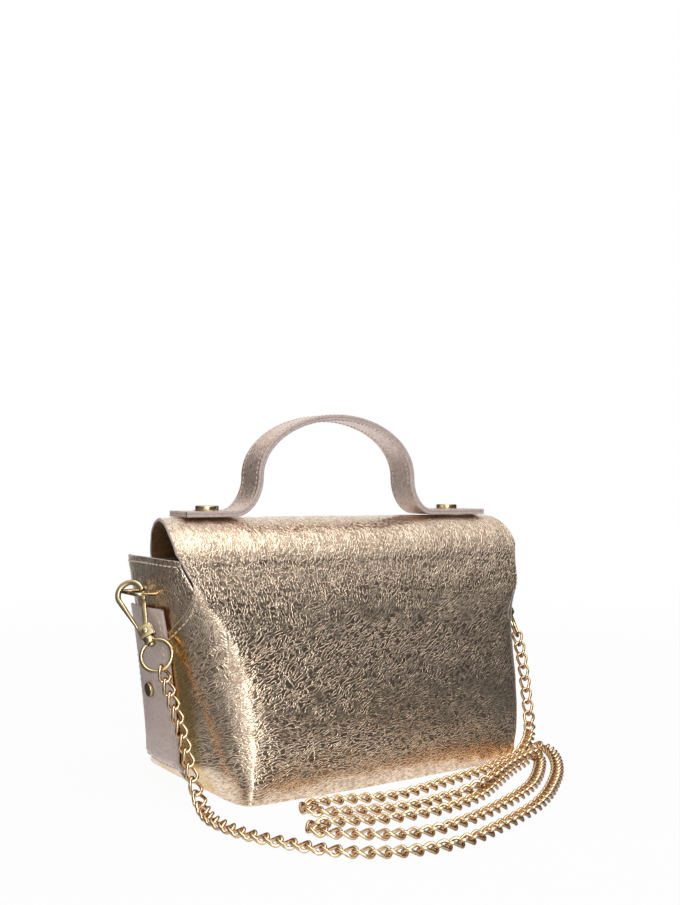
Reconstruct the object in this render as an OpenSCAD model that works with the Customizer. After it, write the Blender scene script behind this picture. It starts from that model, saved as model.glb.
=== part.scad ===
/* [Bag body] */
// Length of the flat base between its corners
base_l = 188; // [150:1:220]
// Depth of the flat base from front to back
base_d = 122; // [90:1:140]
// Length between the corners of the walls at the rim
rim_l = 234; // [200:1:260]
// Depth of the bag at the rim
rim_d = 66; // [56:1:80]
// Length between the side ridges just above the base
foot_ridge_l = 222; // [200:1:250]
// Length between the side ridges at the rim
rim_ridge_l = 248; // [236:1:280]
// How much further the right end swells than the left one
right_swell = 9; // [0:1:12]
// Height of the back and front walls
wall_h = 118; // [100:1:135]
// Height of the top of the arched flap
top_h = 142; // [138:1:165]
// Thickness of the body leather
leather_t = 1.8; // [1.2:0.1:2.4]
// Gap between two pieces that lie on each other
seat_gap = 0.3; // [0.2:0.05:0.4]
// Thickness of the stiffening board in the base
board_t = 1.5; // [1:0.1:3]

/* [Sides] */
// Height of the wall edge where it meets the side strip
wing_h = 83; // [70:1:100]
// Height where the gusset starts inside the wall
gusset_low = 66; // [50:1:80]
// Height of the gusset's top edge
gusset_h = 123; // [110:1:132]
// Thickness of the gusset leather
gusset_t = 1.2; // [0.8:0.1:1.8]
// Height of the lower end of the side strip
strip_low = 9; // [9:1:40]
// Height of the upper end of the side strip
strip_high = 95; // [85:1:96]
// Height of the side stud
side_stud_z = 52; // [35:1:75]
// Diameter of the side stud's head
side_stud_d = 8; // [6:0.5:12]

/* [Flap] */
// Length of the flap along its hinge
flap_l = 234; // [200:1:244]
// Length of the flap's lower edge on the front
flap_front_l = 168; // [140:1:200]
// Height of the flap's lower edge on the front
flap_low = 68; // [50:1:90]
// Height of the magnetic closure
magnet_z = 92; // [90:1:96]
// Diameter of the magnetic closure
magnet_d = 14; // [10:1:18]
// Thickness of each half of the closure
magnet_t = 1.6; // [1.2:0.1:2.5]

/* [Handle] */
// Length between the ends of the handle's tabs
handle_l = 215; // [190:1:225]
// Width of the handle strap
strap_w = 20; // [14:1:26]
// Thickness of each layer of the strap
strap_t = 1.6; // [1.2:0.1:2.2]
// Distance between the limbs of the handle
handle_span = 101; // [90:1:130]
// Rise of the handle's arch above its limbs
arch_rise = 33; // [20:1:45]
// Height of the handle above the top of the flap
handle_rise = 59; // [50:1:75]
// Reach of the bend from a limb out to its tab
bend_reach = 18; // [14:1:20]
// Distance between the handle studs
stud_span = 170; // [155:1:190]
// Diameter of a handle stud's head
stud_d = 13; // [9:0.5:15]
// Thickness of a handle stud's head
stud_t = 2.4; // [1.5:0.1:3.5]
// Diameter of a stud's shank
shank_d = 3; // [2:0.1:4]

/* [Side loops and snap hooks] */
// Wire of the side loop
loop_wire = 2; // [1.5:0.1:2.6]
// Reach of the side loop from the gusset
loop_reach = 10; // [9.5:0.5:14]
// Width of the side loop over its centreline
loop_w = 21; // [20:1:26]
// Height of the side loop
loop_z = 103; // [102:1:110]
// Outer radius of the hook's bow
bow_r = 8; // [7:0.5:11]
// Width of the hook's bow section
bow_w = 2.6; // [2:0.1:3.4]
// Thickness of the hook
hook_t = 3; // [2.4:0.1:4]
// Length from the bow's centre to the hook's block
limb_l = 19; // [16:1:24]
// Height of the hook's block
block_h = 6.5; // [5:0.5:9]
// Width of the hook's block
block_w = 7.6; // [6:0.2:10]
// Diameter of the gate's pin
pin_d = 1.6; // [1.2:0.1:2]
// Outer diameter of the eye ring
eye_d = 18.5; // [15:0.5:24]
// Wire of the eye ring
eye_wire = 2.2; // [1.6:0.1:3]
// Diameter of the swivel stem
stem_d = 2; // [1.6:0.1:2.6]

/* [Chain] */
// Wire of the chain links
link_wire = 1.6; // [1.2:0.1:2]
// Outer width of a chain link
link_w = 7.4; // [6.4:0.2:9]
// Distance from link to link
link_pitch = 7.2; // [6.6:0.1:8]
// Twist of a link between its two ends
link_twist = 70; // [60:5:90]

/* [Hidden] */
$fn = 48;
overrun = 1;

foil = [0.82, 0.76, 0.62];
foil_pink = [0.85, 0.76, 0.72];
board_grey = [0.35, 0.33, 0.3];
gold = [0.86, 0.72, 0.42];
rose_gold = [0.88, 0.7, 0.5];

// Plan of the walls at a height: corners, depth and side ridges, each as a share of the way up
level_shares = [0, 0.05, 0.14, 0.3, 0.5, 0.7, 0.88, 1];
corner_shares = [0, 0, 0.03, 0.08, 0.17, 0.4, 0.82, 1];
depth_shares = [0, 0, 0.03, 0.12, 0.28, 0.5, 0.77, 1];
foot_ridge_shares = [0.02, 0.3, 1, 1, 1, 1, 1, 1];
ridge_shares = [0, 0, 0, 0.12, 0.38, 0.62, 0.88, 1];
round_shares = [0.1, 0.12, 0.16, 0.2, 0.2, 0.16, 0.09, 0.05];
swell_shares = [0, 0.1, 0.6, 1, 0.85, 0.35, 0.15, 0];
ridge_flat = 17;

function mix(a, b, t) = a + (b - a) * t;
function at_level(shares, z) =
    lookup(z / wall_h, [for (i = [0:len(shares) - 1]) [level_shares[i], shares[i]]]);
function corner_x(z) = mix(base_l, rim_l, at_level(corner_shares, z)) / 2;
function depth_y(z) = mix(base_d, rim_d, at_level(depth_shares, z)) / 2;
function foot_x(z) = mix(base_l, foot_ridge_l, at_level(foot_ridge_shares, z));
function ridge_x(z) = mix(foot_x(z), rim_ridge_l, at_level(ridge_shares, z)) / 2;

// Half outline of the back wall from the left ridge to the right one, smoothed by corner cutting
function control(z, inset) =
    let (cx = corner_x(z) - inset, cy = depth_y(z) - inset, rx = ridge_x(z) - inset,
        kept = 1 - at_level(round_shares, z), round_x = cx * kept, round_y = cy * kept,
        full = right_swell * at_level(swell_shares, z))
    [[-rx, ridge_flat], [-rx, -ridge_flat], [-cx, -round_y], [-round_x, -cy],
        [round_x + full, -cy], [cx + full, -round_y], [rx, -ridge_flat], [rx, ridge_flat]];
cut_share = 0.25;
function cut_corners(p) =
    [for (i = [0:len(p) - 2]) each [mix(p[i], p[i + 1], cut_share), mix(p[i], p[i + 1], 1 - cut_share)]];
function smooth_outline(z, inset) = cut_corners(cut_corners(cut_corners(control(z, inset))));
function half_outline(z, inset) =
    let (all = smooth_outline(z, inset), rx = ridge_x(z) - inset,
        kept = [for (p = all) if (p[1] < -seam_half * 2) p])
    concat([[-rx, -seam_half]], [for (i = [0:2:len(kept) - 1]) kept[i]], [[rx, -seam_half]]);
seam_half = 1.4;

// Top edge of the wall: level over the sheet, falling along the wings to the side strip
function wing_share(p) = max(0, 1 + (p[1] + ridge_flat) / (rim_d / 2 - ridge_flat));
function top_of(p) = mix(wall_h, wing_h, sqrt(min(1, wing_share(p))));

// Closed solid between two grids of points, given row by row
module grid_solid(outer, inner) {
    rows = len(outer);
    cols = len(outer[0]);
    n = rows * cols;
    points = concat([for (row = outer) each row], [for (row = inner) each row]);
    function id(r, c) = r * cols + c;
    faces = concat(
        [for (r = [0:rows - 2], c = [0:cols - 2]) each [
            [id(r, c), id(r + 1, c), id(r + 1, c + 1)],
            [id(r, c), id(r + 1, c + 1), id(r, c + 1)],
            [n + id(r, c), n + id(r + 1, c + 1), n + id(r + 1, c)],
            [n + id(r, c), n + id(r, c + 1), n + id(r + 1, c + 1)]]],
        [for (c = [0:cols - 2]) each [
            [id(0, c), id(0, c + 1), n + id(0, c + 1)], [id(0, c), n + id(0, c + 1), n + id(0, c)],
            [id(rows - 1, c), n + id(rows - 1, c + 1), id(rows - 1, c + 1)],
            [id(rows - 1, c), n + id(rows - 1, c), n + id(rows - 1, c + 1)]]],
        [for (r = [0:rows - 2]) each [
            [id(r, 0), n + id(r + 1, 0), id(r + 1, 0)], [id(r, 0), n + id(r, 0), n + id(r + 1, 0)],
            [id(r, cols - 1), id(r + 1, cols - 1), n + id(r + 1, cols - 1)],
            [id(r, cols - 1), n + id(r + 1, cols - 1), n + id(r, cols - 1)]]]);
    polyhedron(points, faces);
}

// Grid of the wall from low to high, where high depends on the place along the outline
function wall_grid(inset, from, to, low, high) =
    let (rim = half_outline(wall_h, inset))
    [for (s = level_shares) [for (c = [from:to])
        let (z = mix(low, high(rim[c]), s), p = half_outline(z, inset)[c]) [p[0], p[1], z]]];

wall_cols = len(half_outline(0, 0));

module wall_panel() {
    grid_solid(
        wall_grid(0, 0, wall_cols - 1, 0, function(p) top_of(p)),
        wall_grid(leather_t, 0, wall_cols - 1, 0, function(p) top_of(p)));
}
module back_panel() color(foil) wall_panel();
module front_panel() color(foil) mirror([0, 1, 0]) wall_panel();

// Full outline of the bag at a height
function full_outline(z, inset) =
    let (half = half_outline(z, inset), n = len(half))
    concat(half, [for (i = [n - 1:-1:0]) [half[i][0], -half[i][1]]]);

module base_panel()
    color(foil) linear_extrude(leather_t) polygon(full_outline(0, leather_t + seat_gap));

board_inset = leather_t + 4 * seat_gap;
module base_board() color(board_grey) translate([0, 0, leather_t])
    linear_extrude(board_t) polygon(full_outline(0, board_inset));

// Reach of an end of the outline, -1 or 1, found by the distance from the middle plane
function side_reach(z, inset, y, end) =
    lookup(abs(y), [for (p = half_outline(z, inset)) if (p[0] * end > 0) [-p[1], p[0] * end]]);
side_shares = [-1, -0.8, -0.6, -0.4, -0.2, 0, 0.2, 0.4, 0.6, 0.8, 1];
function side_grid(end, inset, half_at, rows) =
    [for (level_at = rows) [for (k = side_shares)
        let (z = level_at(k), y = k * half_at(z)) [-side_reach(z, inset, y, end), y, z]]];
module side_patch(end, outside, thickness, half_at, rows) grid_solid(
    side_grid(end, outside + thickness, half_at, rows),
    side_grid(end, outside, half_at, rows));

gusset_width_share = 0.93;
gusset_drop = 8;
gusset_inset = leather_t + seat_gap;
function gusset_half(z) = gusset_width_share * (depth_y(max(z, wing_h)) - gusset_inset - gusset_t);
gusset_rows = [for (s = [0, 0.2, 0.4, 0.6, 0.8, 1])
    function(k) mix(gusset_low, gusset_h - gusset_drop * k * k, s)];
module gusset(end)
    difference() {
        side_patch(end, gusset_inset, gusset_t, function(z) gusset_half(z), gusset_rows);
        loop_legs(seat_gap);
    }
module gusset_left() color(foil) gusset(-1);
module gusset_right() color(foil) mirror([1, 0, 0]) gusset(1);

strip_half = 19;
strip_gap = 1.2 * seat_gap;
// The strip bends where the wall does: its rows lie at the wall's own levels
strip_rows = [for (z = concat([strip_low],
    [for (s = level_shares) if (s * wall_h > strip_low && s * wall_h < strip_high) s * wall_h],
    [strip_high])) function(k) z];
module side_strip(end)
    difference() {
        side_patch(end, -strip_gap - leather_t, leather_t, function(z) strip_half, strip_rows);
        on_ridge(side_stud_z) translate([0, 0, -overrun])
            cylinder(d = side_shank_d + 2 * seat_gap, h = leather_t + 3 * overrun);
    }
module side_strip_left() color(foil_pink) side_strip(-1);
module side_strip_right() color(foil_pink) mirror([1, 0, 0]) side_strip(1);

// Places its children on the outer face of the left ridge, looking outwards
function ridge_lean(z) = atan((ridge_x(z + lean_step) - ridge_x(z - lean_step)) / (2 * lean_step));
module on_ridge(z) translate([-ridge_x(z), 0, z]) rotate([0, -90 - ridge_lean(z), 0]) children();

side_shank_d = 2.2;
side_back_share = 0.8;
side_head_t = 1.8;
side_washer_t = 1;
strip_face = strip_gap + leather_t;
module side_stud() on_ridge(side_stud_z) {
    inner = leather_t + 2 * seat_gap;
    translate([0, 0, -inner - side_washer_t])
        cylinder(d = side_stud_d * side_back_share, h = side_washer_t);
    translate([0, 0, -inner - side_washer_t])
        cylinder(d = side_shank_d, h = inner + side_washer_t + strip_face + 2 * seat_gap);
    translate([0, 0, strip_face + seat_gap]) cylinder(d = side_stud_d, h = side_head_t);
}
module side_studs() color(gold) {
    side_stud();
    mirror([1, 0, 0]) side_stud();
}

// Side loop: two legs through the gusset, an outer bar and a plate behind the gusset
gusset_face = ridge_x(loop_z) - gusset_inset;
bar_x = gusset_face + loop_reach;
loop_bend = 2.6;
plate_t = 1.2;
plate_h = 5;
plate_half = loop_w / 2 + plate_h / 2;
plate_face = side_reach(loop_z - plate_h / 2, gusset_inset + gusset_t, plate_half, -1) - seat_gap;
module loop_legs(extra) for (s = [-1, 1])
    translate([-bar_x + loop_bend, s * loop_w / 2, loop_z]) rotate([0, 90, 0])
        cylinder(d = loop_wire + 2 * extra, h = bar_x - loop_bend - plate_face + plate_t / 2);
module side_loop() {
    loop_legs(0);
    for (s = [-1, 1]) translate([-bar_x + loop_bend, s * (loop_w / 2 - loop_bend), loop_z])
        rotate([0, 0, s > 0 ? 90 : 180]) rotate_extrude(angle = 90)
            translate([loop_bend, 0]) circle(d = loop_wire);
    translate([-bar_x, -loop_w / 2 + loop_bend, loop_z]) rotate([-90, 0, 0])
        cylinder(d = loop_wire, h = loop_w - 2 * loop_bend);
    translate([-plate_face, -plate_half, loop_z - plate_h / 2])
        cube([plate_t, 2 * plate_half, plate_h]);
}
module side_loop_left() color(gold) side_loop();
module side_loop_right() color(gold) mirror([1, 0, 0]) side_loop();

// Flap: one sheet that arches from the back wall over the top and down the front
hinge_y = -(rim_d / 2 - leather_t / 2);
hinge_z = wall_h + seat_gap;
arch_power = 1.6;
lean_step = 4;
magnet_run = depth_y(magnet_z - lean_step) - depth_y(magnet_z + lean_step);
magnet_lean = atan(magnet_run / (2 * lean_step));
front_offset = (2 * magnet_t + 3 * seat_gap + leather_t / 2) / cos(magnet_lean);
front_y = rim_d / 2 + front_offset;
arch_h = top_h - leather_t / 2 - hinge_z;
function arch_rise_share(share) = pow(1 - pow(share, arch_power), 1 / arch_power);
function arch_point(t) =
    [-cos(t) * (t < 90 ? -hinge_y : front_y), hinge_z + arch_h * arch_rise_share(abs(cos(t)))];
arch_steps = 18;
front_levels = [wall_h, level_shares[6] * wall_h, level_shares[5] * wall_h, flap_low];
flap_path = concat(
    [for (i = [0:arch_steps]) arch_point(180 * i / arch_steps)],
    [for (z = front_levels) [depth_y(z) + front_offset, z]]);

// Outline of a strip of even thickness along a path
function unit(v) = v / norm(v);
function side_of(p, i) =
    let (a = p[max(i - 1, 0)], b = p[min(i + 1, len(p) - 1)], d = unit(b - a)) [-d[1], d[0]];
function strip_outline(p, from, to) = concat(
    [for (i = [0:len(p) - 1]) p[i] + side_of(p, i) * to],
    [for (i = [len(p) - 1:-1:0]) p[i] + side_of(p, i) * from]);
module along_x(length) rotate([90, 0, 90]) translate([0, 0, -length / 2]) linear_extrude(length) children();

module stud_places() for (s = [-1, 1]) translate([s * stud_span / 2, 0, 0]) children();
flap_low_y = depth_y(flap_low) + front_offset;
flap_full_y = 12;
function flap_edge(y) =
    mix(flap_l, flap_front_l, (y - flap_full_y) / (flap_low_y - flap_full_y)) / 2;
flap_cut_y = flap_full_y - leather_t;
module flap_side() translate([0, 0, flap_low - overrun]) linear_extrude(top_h - flap_low + 2 * overrun)
    polygon([
        [flap_edge(flap_cut_y), flap_cut_y], [flap_edge(rim_d), rim_d],
        [flap_l, rim_d], [flap_l, flap_cut_y]]);
module flap() color(foil) difference() {
    along_x(flap_l) polygon(strip_outline(flap_path, -leather_t / 2, leather_t / 2));
    flap_side();
    mirror([1, 0, 0]) flap_side();
    stud_places() translate([0, 0, top_h - leather_t - overrun])
        cylinder(d = shank_d + 2 * seat_gap, h = leather_t + 2 * overrun);
}

// Magnetic closure: a catch on the front wall and its fellow under the flap
module magnet_disc(lift) translate([0, depth_y(magnet_z), magnet_z]) rotate([magnet_lean - 90, 0, 0])
    translate([0, 0, lift]) cylinder(d = magnet_d, h = magnet_t);
module magnet_catch() color(gold) magnet_disc(seat_gap);
module magnet_flap() color(gold) magnet_disc(magnet_t + 2 * seat_gap);

// Handle: tabs, bends, limbs and an arch, drawn as one path in the middle plane
handle_lean = -2.5;
tab_z = top_h + seat_gap;
limb_x = handle_span / 2;
arch_low = top_h + handle_rise - arch_rise - 2 * strap_t;
bend_h = arch_low - tab_z;
bend_steps = 6;
arch_bows = 8;
function right_half(lean) = concat(
    [for (i = [arch_bows:-1:1]) let (t = 90 * i / arch_bows)
        [lean + limb_x * cos(t), arch_low + arch_rise * sin(t)]],
    [for (i = [0:bend_steps]) let (t = 180 + 90 * i / bend_steps)
        [lean + limb_x + bend_reach + bend_reach * cos(t), arch_low + bend_h * sin(t)]],
    [[handle_l / 2, tab_z]]);
left_limb = right_half(-handle_lean);
handle_path = concat(
    [for (i = [len(left_limb) - 1:-1:1]) [-left_limb[i][0], left_limb[i][1]]],
    right_half(handle_lean));
module along_y(width) rotate([90, 0, 0]) translate([0, 0, -width / 2]) linear_extrude(width) children();
module strap_layer(from, to) difference() {
    along_y(strap_w) polygon(strip_outline(handle_path, from, to));
    stud_places() translate([0, 0, tab_z - overrun])
        cylinder(d = shank_d + 2 * seat_gap, h = 2 * strap_t + 2 * overrun);
}
module handle_lining() color(foil_pink) strap_layer(0, strap_t);
module handle_strap() color(foil) strap_layer(strap_t, 2 * strap_t);

stud_back_share = 0.7;
stud_back_d = stud_d * stud_back_share;
edge_share = 0.3;
edge_cut = stud_t * edge_share;
stud_back_t = 1.2;
stud_sink = leather_t / 2 + 2 * seat_gap;
stud_low = hinge_z + arch_h * arch_rise_share(stud_back_d / 2 / -hinge_y) - stud_sink;
stud_high = tab_z + 2 * strap_t;
module handle_studs() color(gold) stud_places() {
    translate([0, 0, stud_low - stud_back_t]) cylinder(d = stud_back_d, h = stud_back_t);
    translate([0, 0, stud_low - stud_back_t])
        cylinder(d = shank_d, h = stud_high + stud_t - stud_low + stud_back_t);
    translate([0, 0, stud_high]) rotate_extrude() polygon([
        [0, 0], [stud_d / 2, 0], [stud_d / 2, stud_t - edge_cut],
        [stud_d / 2 - edge_cut, stud_t], [0, stud_t]]);
}

// Snap hook, drawn upright about the centre of its bow
block_t = 4.6;
gate_t = 1.6;
fit_gap = 0.15;
gate_w = 2.4;
gate_round = 2.2;
nose_drop = 1;
knob_d = 3;
knob_l = 1.8;
leaf_t = 0.3;
slot_wall = 1.1;
block_top = -limb_l;
block_low = block_top - block_h;
pivot_z = block_top - block_h / 2;
bow_mid = bow_r - bow_w / 2;
pin_head_d = 3.2;
pin_head_t = 0.5;
module flat(thickness) rotate([90, 0, 0])
    translate([0, 0, -thickness / 2]) linear_extrude(thickness) children();
module bow_shape() {
    difference() {
        circle(r = bow_r);
        circle(r = bow_r - bow_w);
        translate([-bow_r - overrun, -bow_r - overrun]) square([bow_r + overrun, bow_r + overrun]);
        translate([-overrun, -bow_r - overrun]) square([bow_r + 2 * overrun, bow_r + overrun - nose_drop]);
    }
    polygon([
        [-bow_r, 0], [-bow_r + bow_w, 0],
        [-block_w / 2 + slot_wall, block_top], [-block_w / 2, block_top]]);
}
module hook_frame() difference() {
    union() {
        flat(hook_t) bow_shape();
        flat(block_t) translate([-block_w / 2, block_low]) square([block_w, block_h]);
    }
    translate([-block_w / 2 + slot_wall, -gate_t / 2 - seat_gap, pivot_z - gate_round - seat_gap])
        cube([block_w, gate_t + 2 * seat_gap, block_h]);
    translate([0, 0, pivot_z]) rotate([90, 0, 0])
        cylinder(d = pin_d + fit_gap, h = block_t + 2 * overrun, center = true);
}
gate_reach = norm([bow_r - bow_w, -nose_drop - pivot_z]) - seat_gap;
function gate_z(x) = pivot_z + sqrt(pow(gate_reach, 2) - pow(x, 2));
gate_in = bow_mid - gate_w / 2;
gate_out = bow_mid + gate_w / 2;
knob_z = gate_z(gate_out) - knob_d;
module gate() difference() {
    union() {
        flat(gate_t) union() {
            translate([0, pivot_z]) circle(r = gate_round);
            polygon([
                [-gate_w / 2, pivot_z], [gate_w / 2, pivot_z],
                [gate_out, gate_z(gate_out)], [gate_in, gate_z(gate_in)]]);
        }
        translate([bow_mid, 0, knob_z]) rotate([0, 90, 0]) {
            cylinder(d = knob_d / 2, h = gate_w / 2 + knob_l);
            translate([0, 0, (gate_w + knob_l) / 2]) cylinder(d = knob_d, h = knob_l / 2);
        }
    }
    translate([0, 0, pivot_z]) rotate([90, 0, 0])
        cylinder(d = pin_d + 2 * fit_gap, h = block_t, center = true);
}
module gate_pin() translate([0, 0, pivot_z]) rotate([90, 0, 0]) {
    cylinder(d = pin_d, h = block_t + 2 * fit_gap, center = true);
    for (s = [-1, 1]) translate([0, 0, s * (block_t / 2 + fit_gap + pin_head_t / 2)])
        cylinder(d = pin_head_d, h = pin_head_t, center = true);
}
module gate_spring()
    translate([-block_w / 2 + slot_wall, -gate_t / 2, pivot_z - gate_round])
        cube([leaf_t, gate_t, block_top - pivot_z + gate_round]);

// Swivel: a stem under the block, through the boss of the eye ring
boss_d = 6.2;
boss_h = 3.6;
stem_head_d = 4;
stem_head_t = 1.2;
boss_top = block_low - seat_gap;
boss_low = boss_top - boss_h;
eye_r = (eye_d - eye_wire) / 2;
eye_top = boss_low + eye_wire / 2;
eye_z = eye_top - eye_r;
module swivel_stem() {
    translate([0, 0, boss_low - seat_gap - stem_head_t]) {
        cylinder(d = stem_head_d, h = stem_head_t);
        cylinder(d = stem_d, h = stem_head_t + boss_h + 2 * seat_gap);
    }
}
module eye_ring() difference() {
    union() {
        translate([0, 0, eye_z]) rotate([90, 0, 0])
            rotate_extrude() translate([eye_r, 0]) circle(d = eye_wire);
        translate([0, 0, boss_low]) cylinder(d = boss_d, h = boss_h);
    }
    translate([0, 0, boss_low - overrun]) cylinder(d = stem_d + 2 * seat_gap, h = boss_h + 2 * overrun);
}

// The hooks hang on the bars of the loops and lean on the sides, drawn forward by the chain
hook_forward = -35;
hook_inward = -11;
hook_turn = -35;
hang_y = 2;
contact_share = 0.5;
contact_r = (bow_r - bow_w - loop_wire / 2) * contact_share;
contact_angle = 119;
module hung() translate([-bar_x, hang_y, loop_z])
    rotate([hook_forward, hook_inward, 0]) rotate([0, 0, hook_turn])
        translate([-contact_r * cos(contact_angle), 0, -contact_r * sin(contact_angle)]) children();
module hung_right() mirror([1, 0, 0]) hung() children();
module hook_left() color(gold) hung() hook_frame();
module hook_right() color(gold) hung_right() hook_frame();
module gate_left() color(gold) hung() gate();
module gate_right() color(gold) hung_right() gate();
module gate_pin_left() color(gold) hung() gate_pin();
module gate_pin_right() color(gold) hung_right() gate_pin();
module gate_spring_left() color(gold) hung() gate_spring();
module gate_spring_right() color(gold) hung_right() gate_spring();
module swivel_stem_left() color(gold) hung() swivel_stem();
module swivel_stem_right() color(gold) hung_right() swivel_stem();
module eye_ring_left() color(gold) hung() eye_ring();
module eye_ring_right() color(gold) hung_right() eye_ring();

// Chain: one line from ring to ring, over the floor in five strands
chain_route = [
    [-122.6, -24.7, 67.3], [-121, -31, 56], [-119, -35, 45], [-117, -38, 35], [-116, -42, 24],
    [-115, -46, 14], [-115, -53, 6], [-117, -62, 3], [-120, -75, 2.8], [-119, -90, 2.8],
    [-116, -104, 2.8], [-109, -119, 2.8], [-101, -134, 2.8], [-92, -146, 2.8], [-81, -154, 2.8],
    [-68, -160, 2.8], [-52, -163, 2.8], [-32, -162, 2.8], [-4, -153, 2.8], [22, -143, 2.8],
    [40, -133, 2.8], [58, -120, 2.8], [78, -104, 2.8], [96, -86, 2.8], [110, -68, 2.8],
    [117, -54, 2.8], [115, -45, 2.8], [107, -46, 2.8], [102, -58, 2.8], [93, -76, 2.8],
    [74, -94, 2.8], [56, -109, 2.8], [38, -120, 2.8], [7, -133, 2.8], [-20, -141, 2.8],
    [-44, -144, 2.8], [-60, -139, 2.8], [-72, -130, 2.8], [-84, -121, 2.8], [-89, -112, 2.8],
    [-82, -105, 2.8], [-69, -109, 2.8], [-52, -117, 2.8], [-35, -120, 2.8], [-15, -121, 2.8],
    [11, -115, 2.8], [39, -98, 2.8], [60, -85, 2.8], [77, -77, 2.8], [87, -71, 3], [93, -71, 5],
    [92, -76, 7.5], [82, -79, 8.4], [66, -85, 8.4], [48, -94, 8.4], [33, -103, 8.2], [18, -106, 5.5],
    [4, -104, 2.8], [-20, -108, 2.8], [-39, -105, 2.8], [-55, -99, 2.8], [-68, -94, 2.8],
    [-75, -86, 2.8], [-70, -78, 2.8], [-58, -77, 2.8], [-42, -83, 2.8], [-25, -90, 2.8],
    [0, -87, 2.8], [22, -82, 2.8], [49, -77, 2.8], [67, -70, 2.8], [82, -65.2, 3], [92, -62.5, 5.5],
    [102, -56.5, 8.8], [112, -47.5, 10], [118, -41, 16], [120, -37, 26], [121, -34, 38], [121, -31, 54],
    [122.6, -24.7, 67.3],
];
hang_up_left = [0.25, -0.8, 0.5];
hang_up_right = [-1, -0.25, 0.15];
link_r = (link_w - link_wire) / 2;
link_clear = 0.2;
link_straight = link_pitch + link_wire + link_clear - 2 * link_r;
chain_path = concat([chain_route[0]], cut_corners(chain_route), [chain_route[len(chain_route) - 1]]);
steps_along = [for (i = [1:len(chain_path) - 1]) norm(chain_path[i] - chain_path[i - 1])];
function sums(v, i = 0, total = 0) = i == len(v) ? [total] : concat([total], sums(v, i + 1, total + v[i]));
marks = sums(steps_along);
chain_l = marks[len(marks) - 1];
link_count = round(chain_l / link_pitch);
link_step = chain_l / link_count;
axis_tables = [for (k = [0:2]) [for (i = [0:len(marks) - 1]) [marks[i], chain_path[i][k]]]];
function chain_at(s) = [for (k = [0:2]) lookup(s, axis_tables[k])];

// One link is a ring of stations round its two ends, with a square wire section set on edge
end_share = 0.62;
function end_station(side, a) =
    let (tw = side * link_twist / 2)
    [[side * (link_straight / 2 + link_r * cos(a)), link_r * sin(a) * cos(tw), link_r * sin(a) * sin(tw)],
        [side * cos(a), sin(a) * cos(tw), sin(a) * sin(tw)], [0, -sin(tw), cos(tw)]];
function side_station(side) = [[0, side * link_r * cos(link_twist / 2), 0], [0, side, 0], [0, 0, 1]];
end_angle = 90 * end_share;
stations = [
    end_station(1, -end_angle), end_station(1, 0), end_station(1, end_angle), side_station(1),
    end_station(-1, end_angle), end_station(-1, 0), end_station(-1, -end_angle), side_station(-1),
];
section_r = link_wire / 2;
link_points = [for (st = stations) each [
    st[0] + st[1] * section_r, st[0] + st[2] * section_r,
    st[0] - st[1] * section_r, st[0] - st[2] * section_r]];
link_faces = [for (i = [0:7], j = [0:3])
    let (a = i * 4 + j, b = i * 4 + (j + 1) % 4, c = (i + 1) % 8 * 4 + j, d = (i + 1) % 8 * 4 + (j + 1) % 4)
    each [[a, b, d], [a, d, c]]];
lie_z = 6;
rise_h = 20;
module chain_link(i) {
    start = chain_at(i * link_step);
    end = chain_at((i + 1) * link_step);
    middle = (start + end) / 2;
    along = unit(end - start);
    rise = min(1, max(0, (middle[2] - lie_z) / rise_h));
    up = unit(mix([0, 0, 1], middle[0] < 0 ? hang_up_left : hang_up_right, rise));
    across = unit(cross(up, along));
    out = cross(along, across);
    polyhedron([for (p = link_points) middle + p[0] * along + p[1] * across + p[2] * out], link_faces);
}
function link_z(i) = chain_at((i + 0.5) * link_step)[2];
hang_z = 10;
first_low = [for (i = [0:link_count - 1]) if (link_z(i) < hang_z) i][0];
last_low = max([for (i = [0:link_count - 1]) if (link_z(i) < hang_z) i]);
module links(from, to) color(rose_gold) for (i = [from:to]) chain_link(i);
module chain_left() links(0, first_low - 1);
module chain_pile() links(first_low, last_low);
module chain_right() links(last_low + 1, link_count - 1);
echo(chain_length = chain_l, links = link_count, step = link_step);

back_panel();
front_panel();
base_panel();
base_board();
gusset_left();
gusset_right();
side_strip_left();
side_strip_right();
side_studs();
side_loop_left();
side_loop_right();
magnet_catch();
flap();
magnet_flap();
handle_strap();
handle_lining();
handle_studs();
hook_left();
hook_right();
gate_left();
gate_right();
gate_pin_left();
gate_pin_right();
gate_spring_left();
gate_spring_right();
swivel_stem_left();
swivel_stem_right();
eye_ring_left();
eye_ring_right();
chain_left();
chain_pile();
chain_right();
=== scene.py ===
import math
import bpy
import numpy as np
from mathutils import Matrix, Quaternion, Vector, noise


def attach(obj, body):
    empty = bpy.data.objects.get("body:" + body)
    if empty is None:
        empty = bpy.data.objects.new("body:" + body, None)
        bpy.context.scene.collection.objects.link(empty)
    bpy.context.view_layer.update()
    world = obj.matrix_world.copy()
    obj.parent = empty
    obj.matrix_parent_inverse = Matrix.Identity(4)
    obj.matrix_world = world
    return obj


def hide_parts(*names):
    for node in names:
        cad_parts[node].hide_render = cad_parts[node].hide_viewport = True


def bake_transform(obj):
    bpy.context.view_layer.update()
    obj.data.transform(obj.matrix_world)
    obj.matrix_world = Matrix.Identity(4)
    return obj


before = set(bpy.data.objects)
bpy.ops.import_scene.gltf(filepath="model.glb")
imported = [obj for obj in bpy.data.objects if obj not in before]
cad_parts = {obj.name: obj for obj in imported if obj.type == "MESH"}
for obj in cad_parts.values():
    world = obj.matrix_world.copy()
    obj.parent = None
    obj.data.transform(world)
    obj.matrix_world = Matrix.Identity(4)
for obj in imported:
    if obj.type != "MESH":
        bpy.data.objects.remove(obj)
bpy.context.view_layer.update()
MM = 0.001


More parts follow.
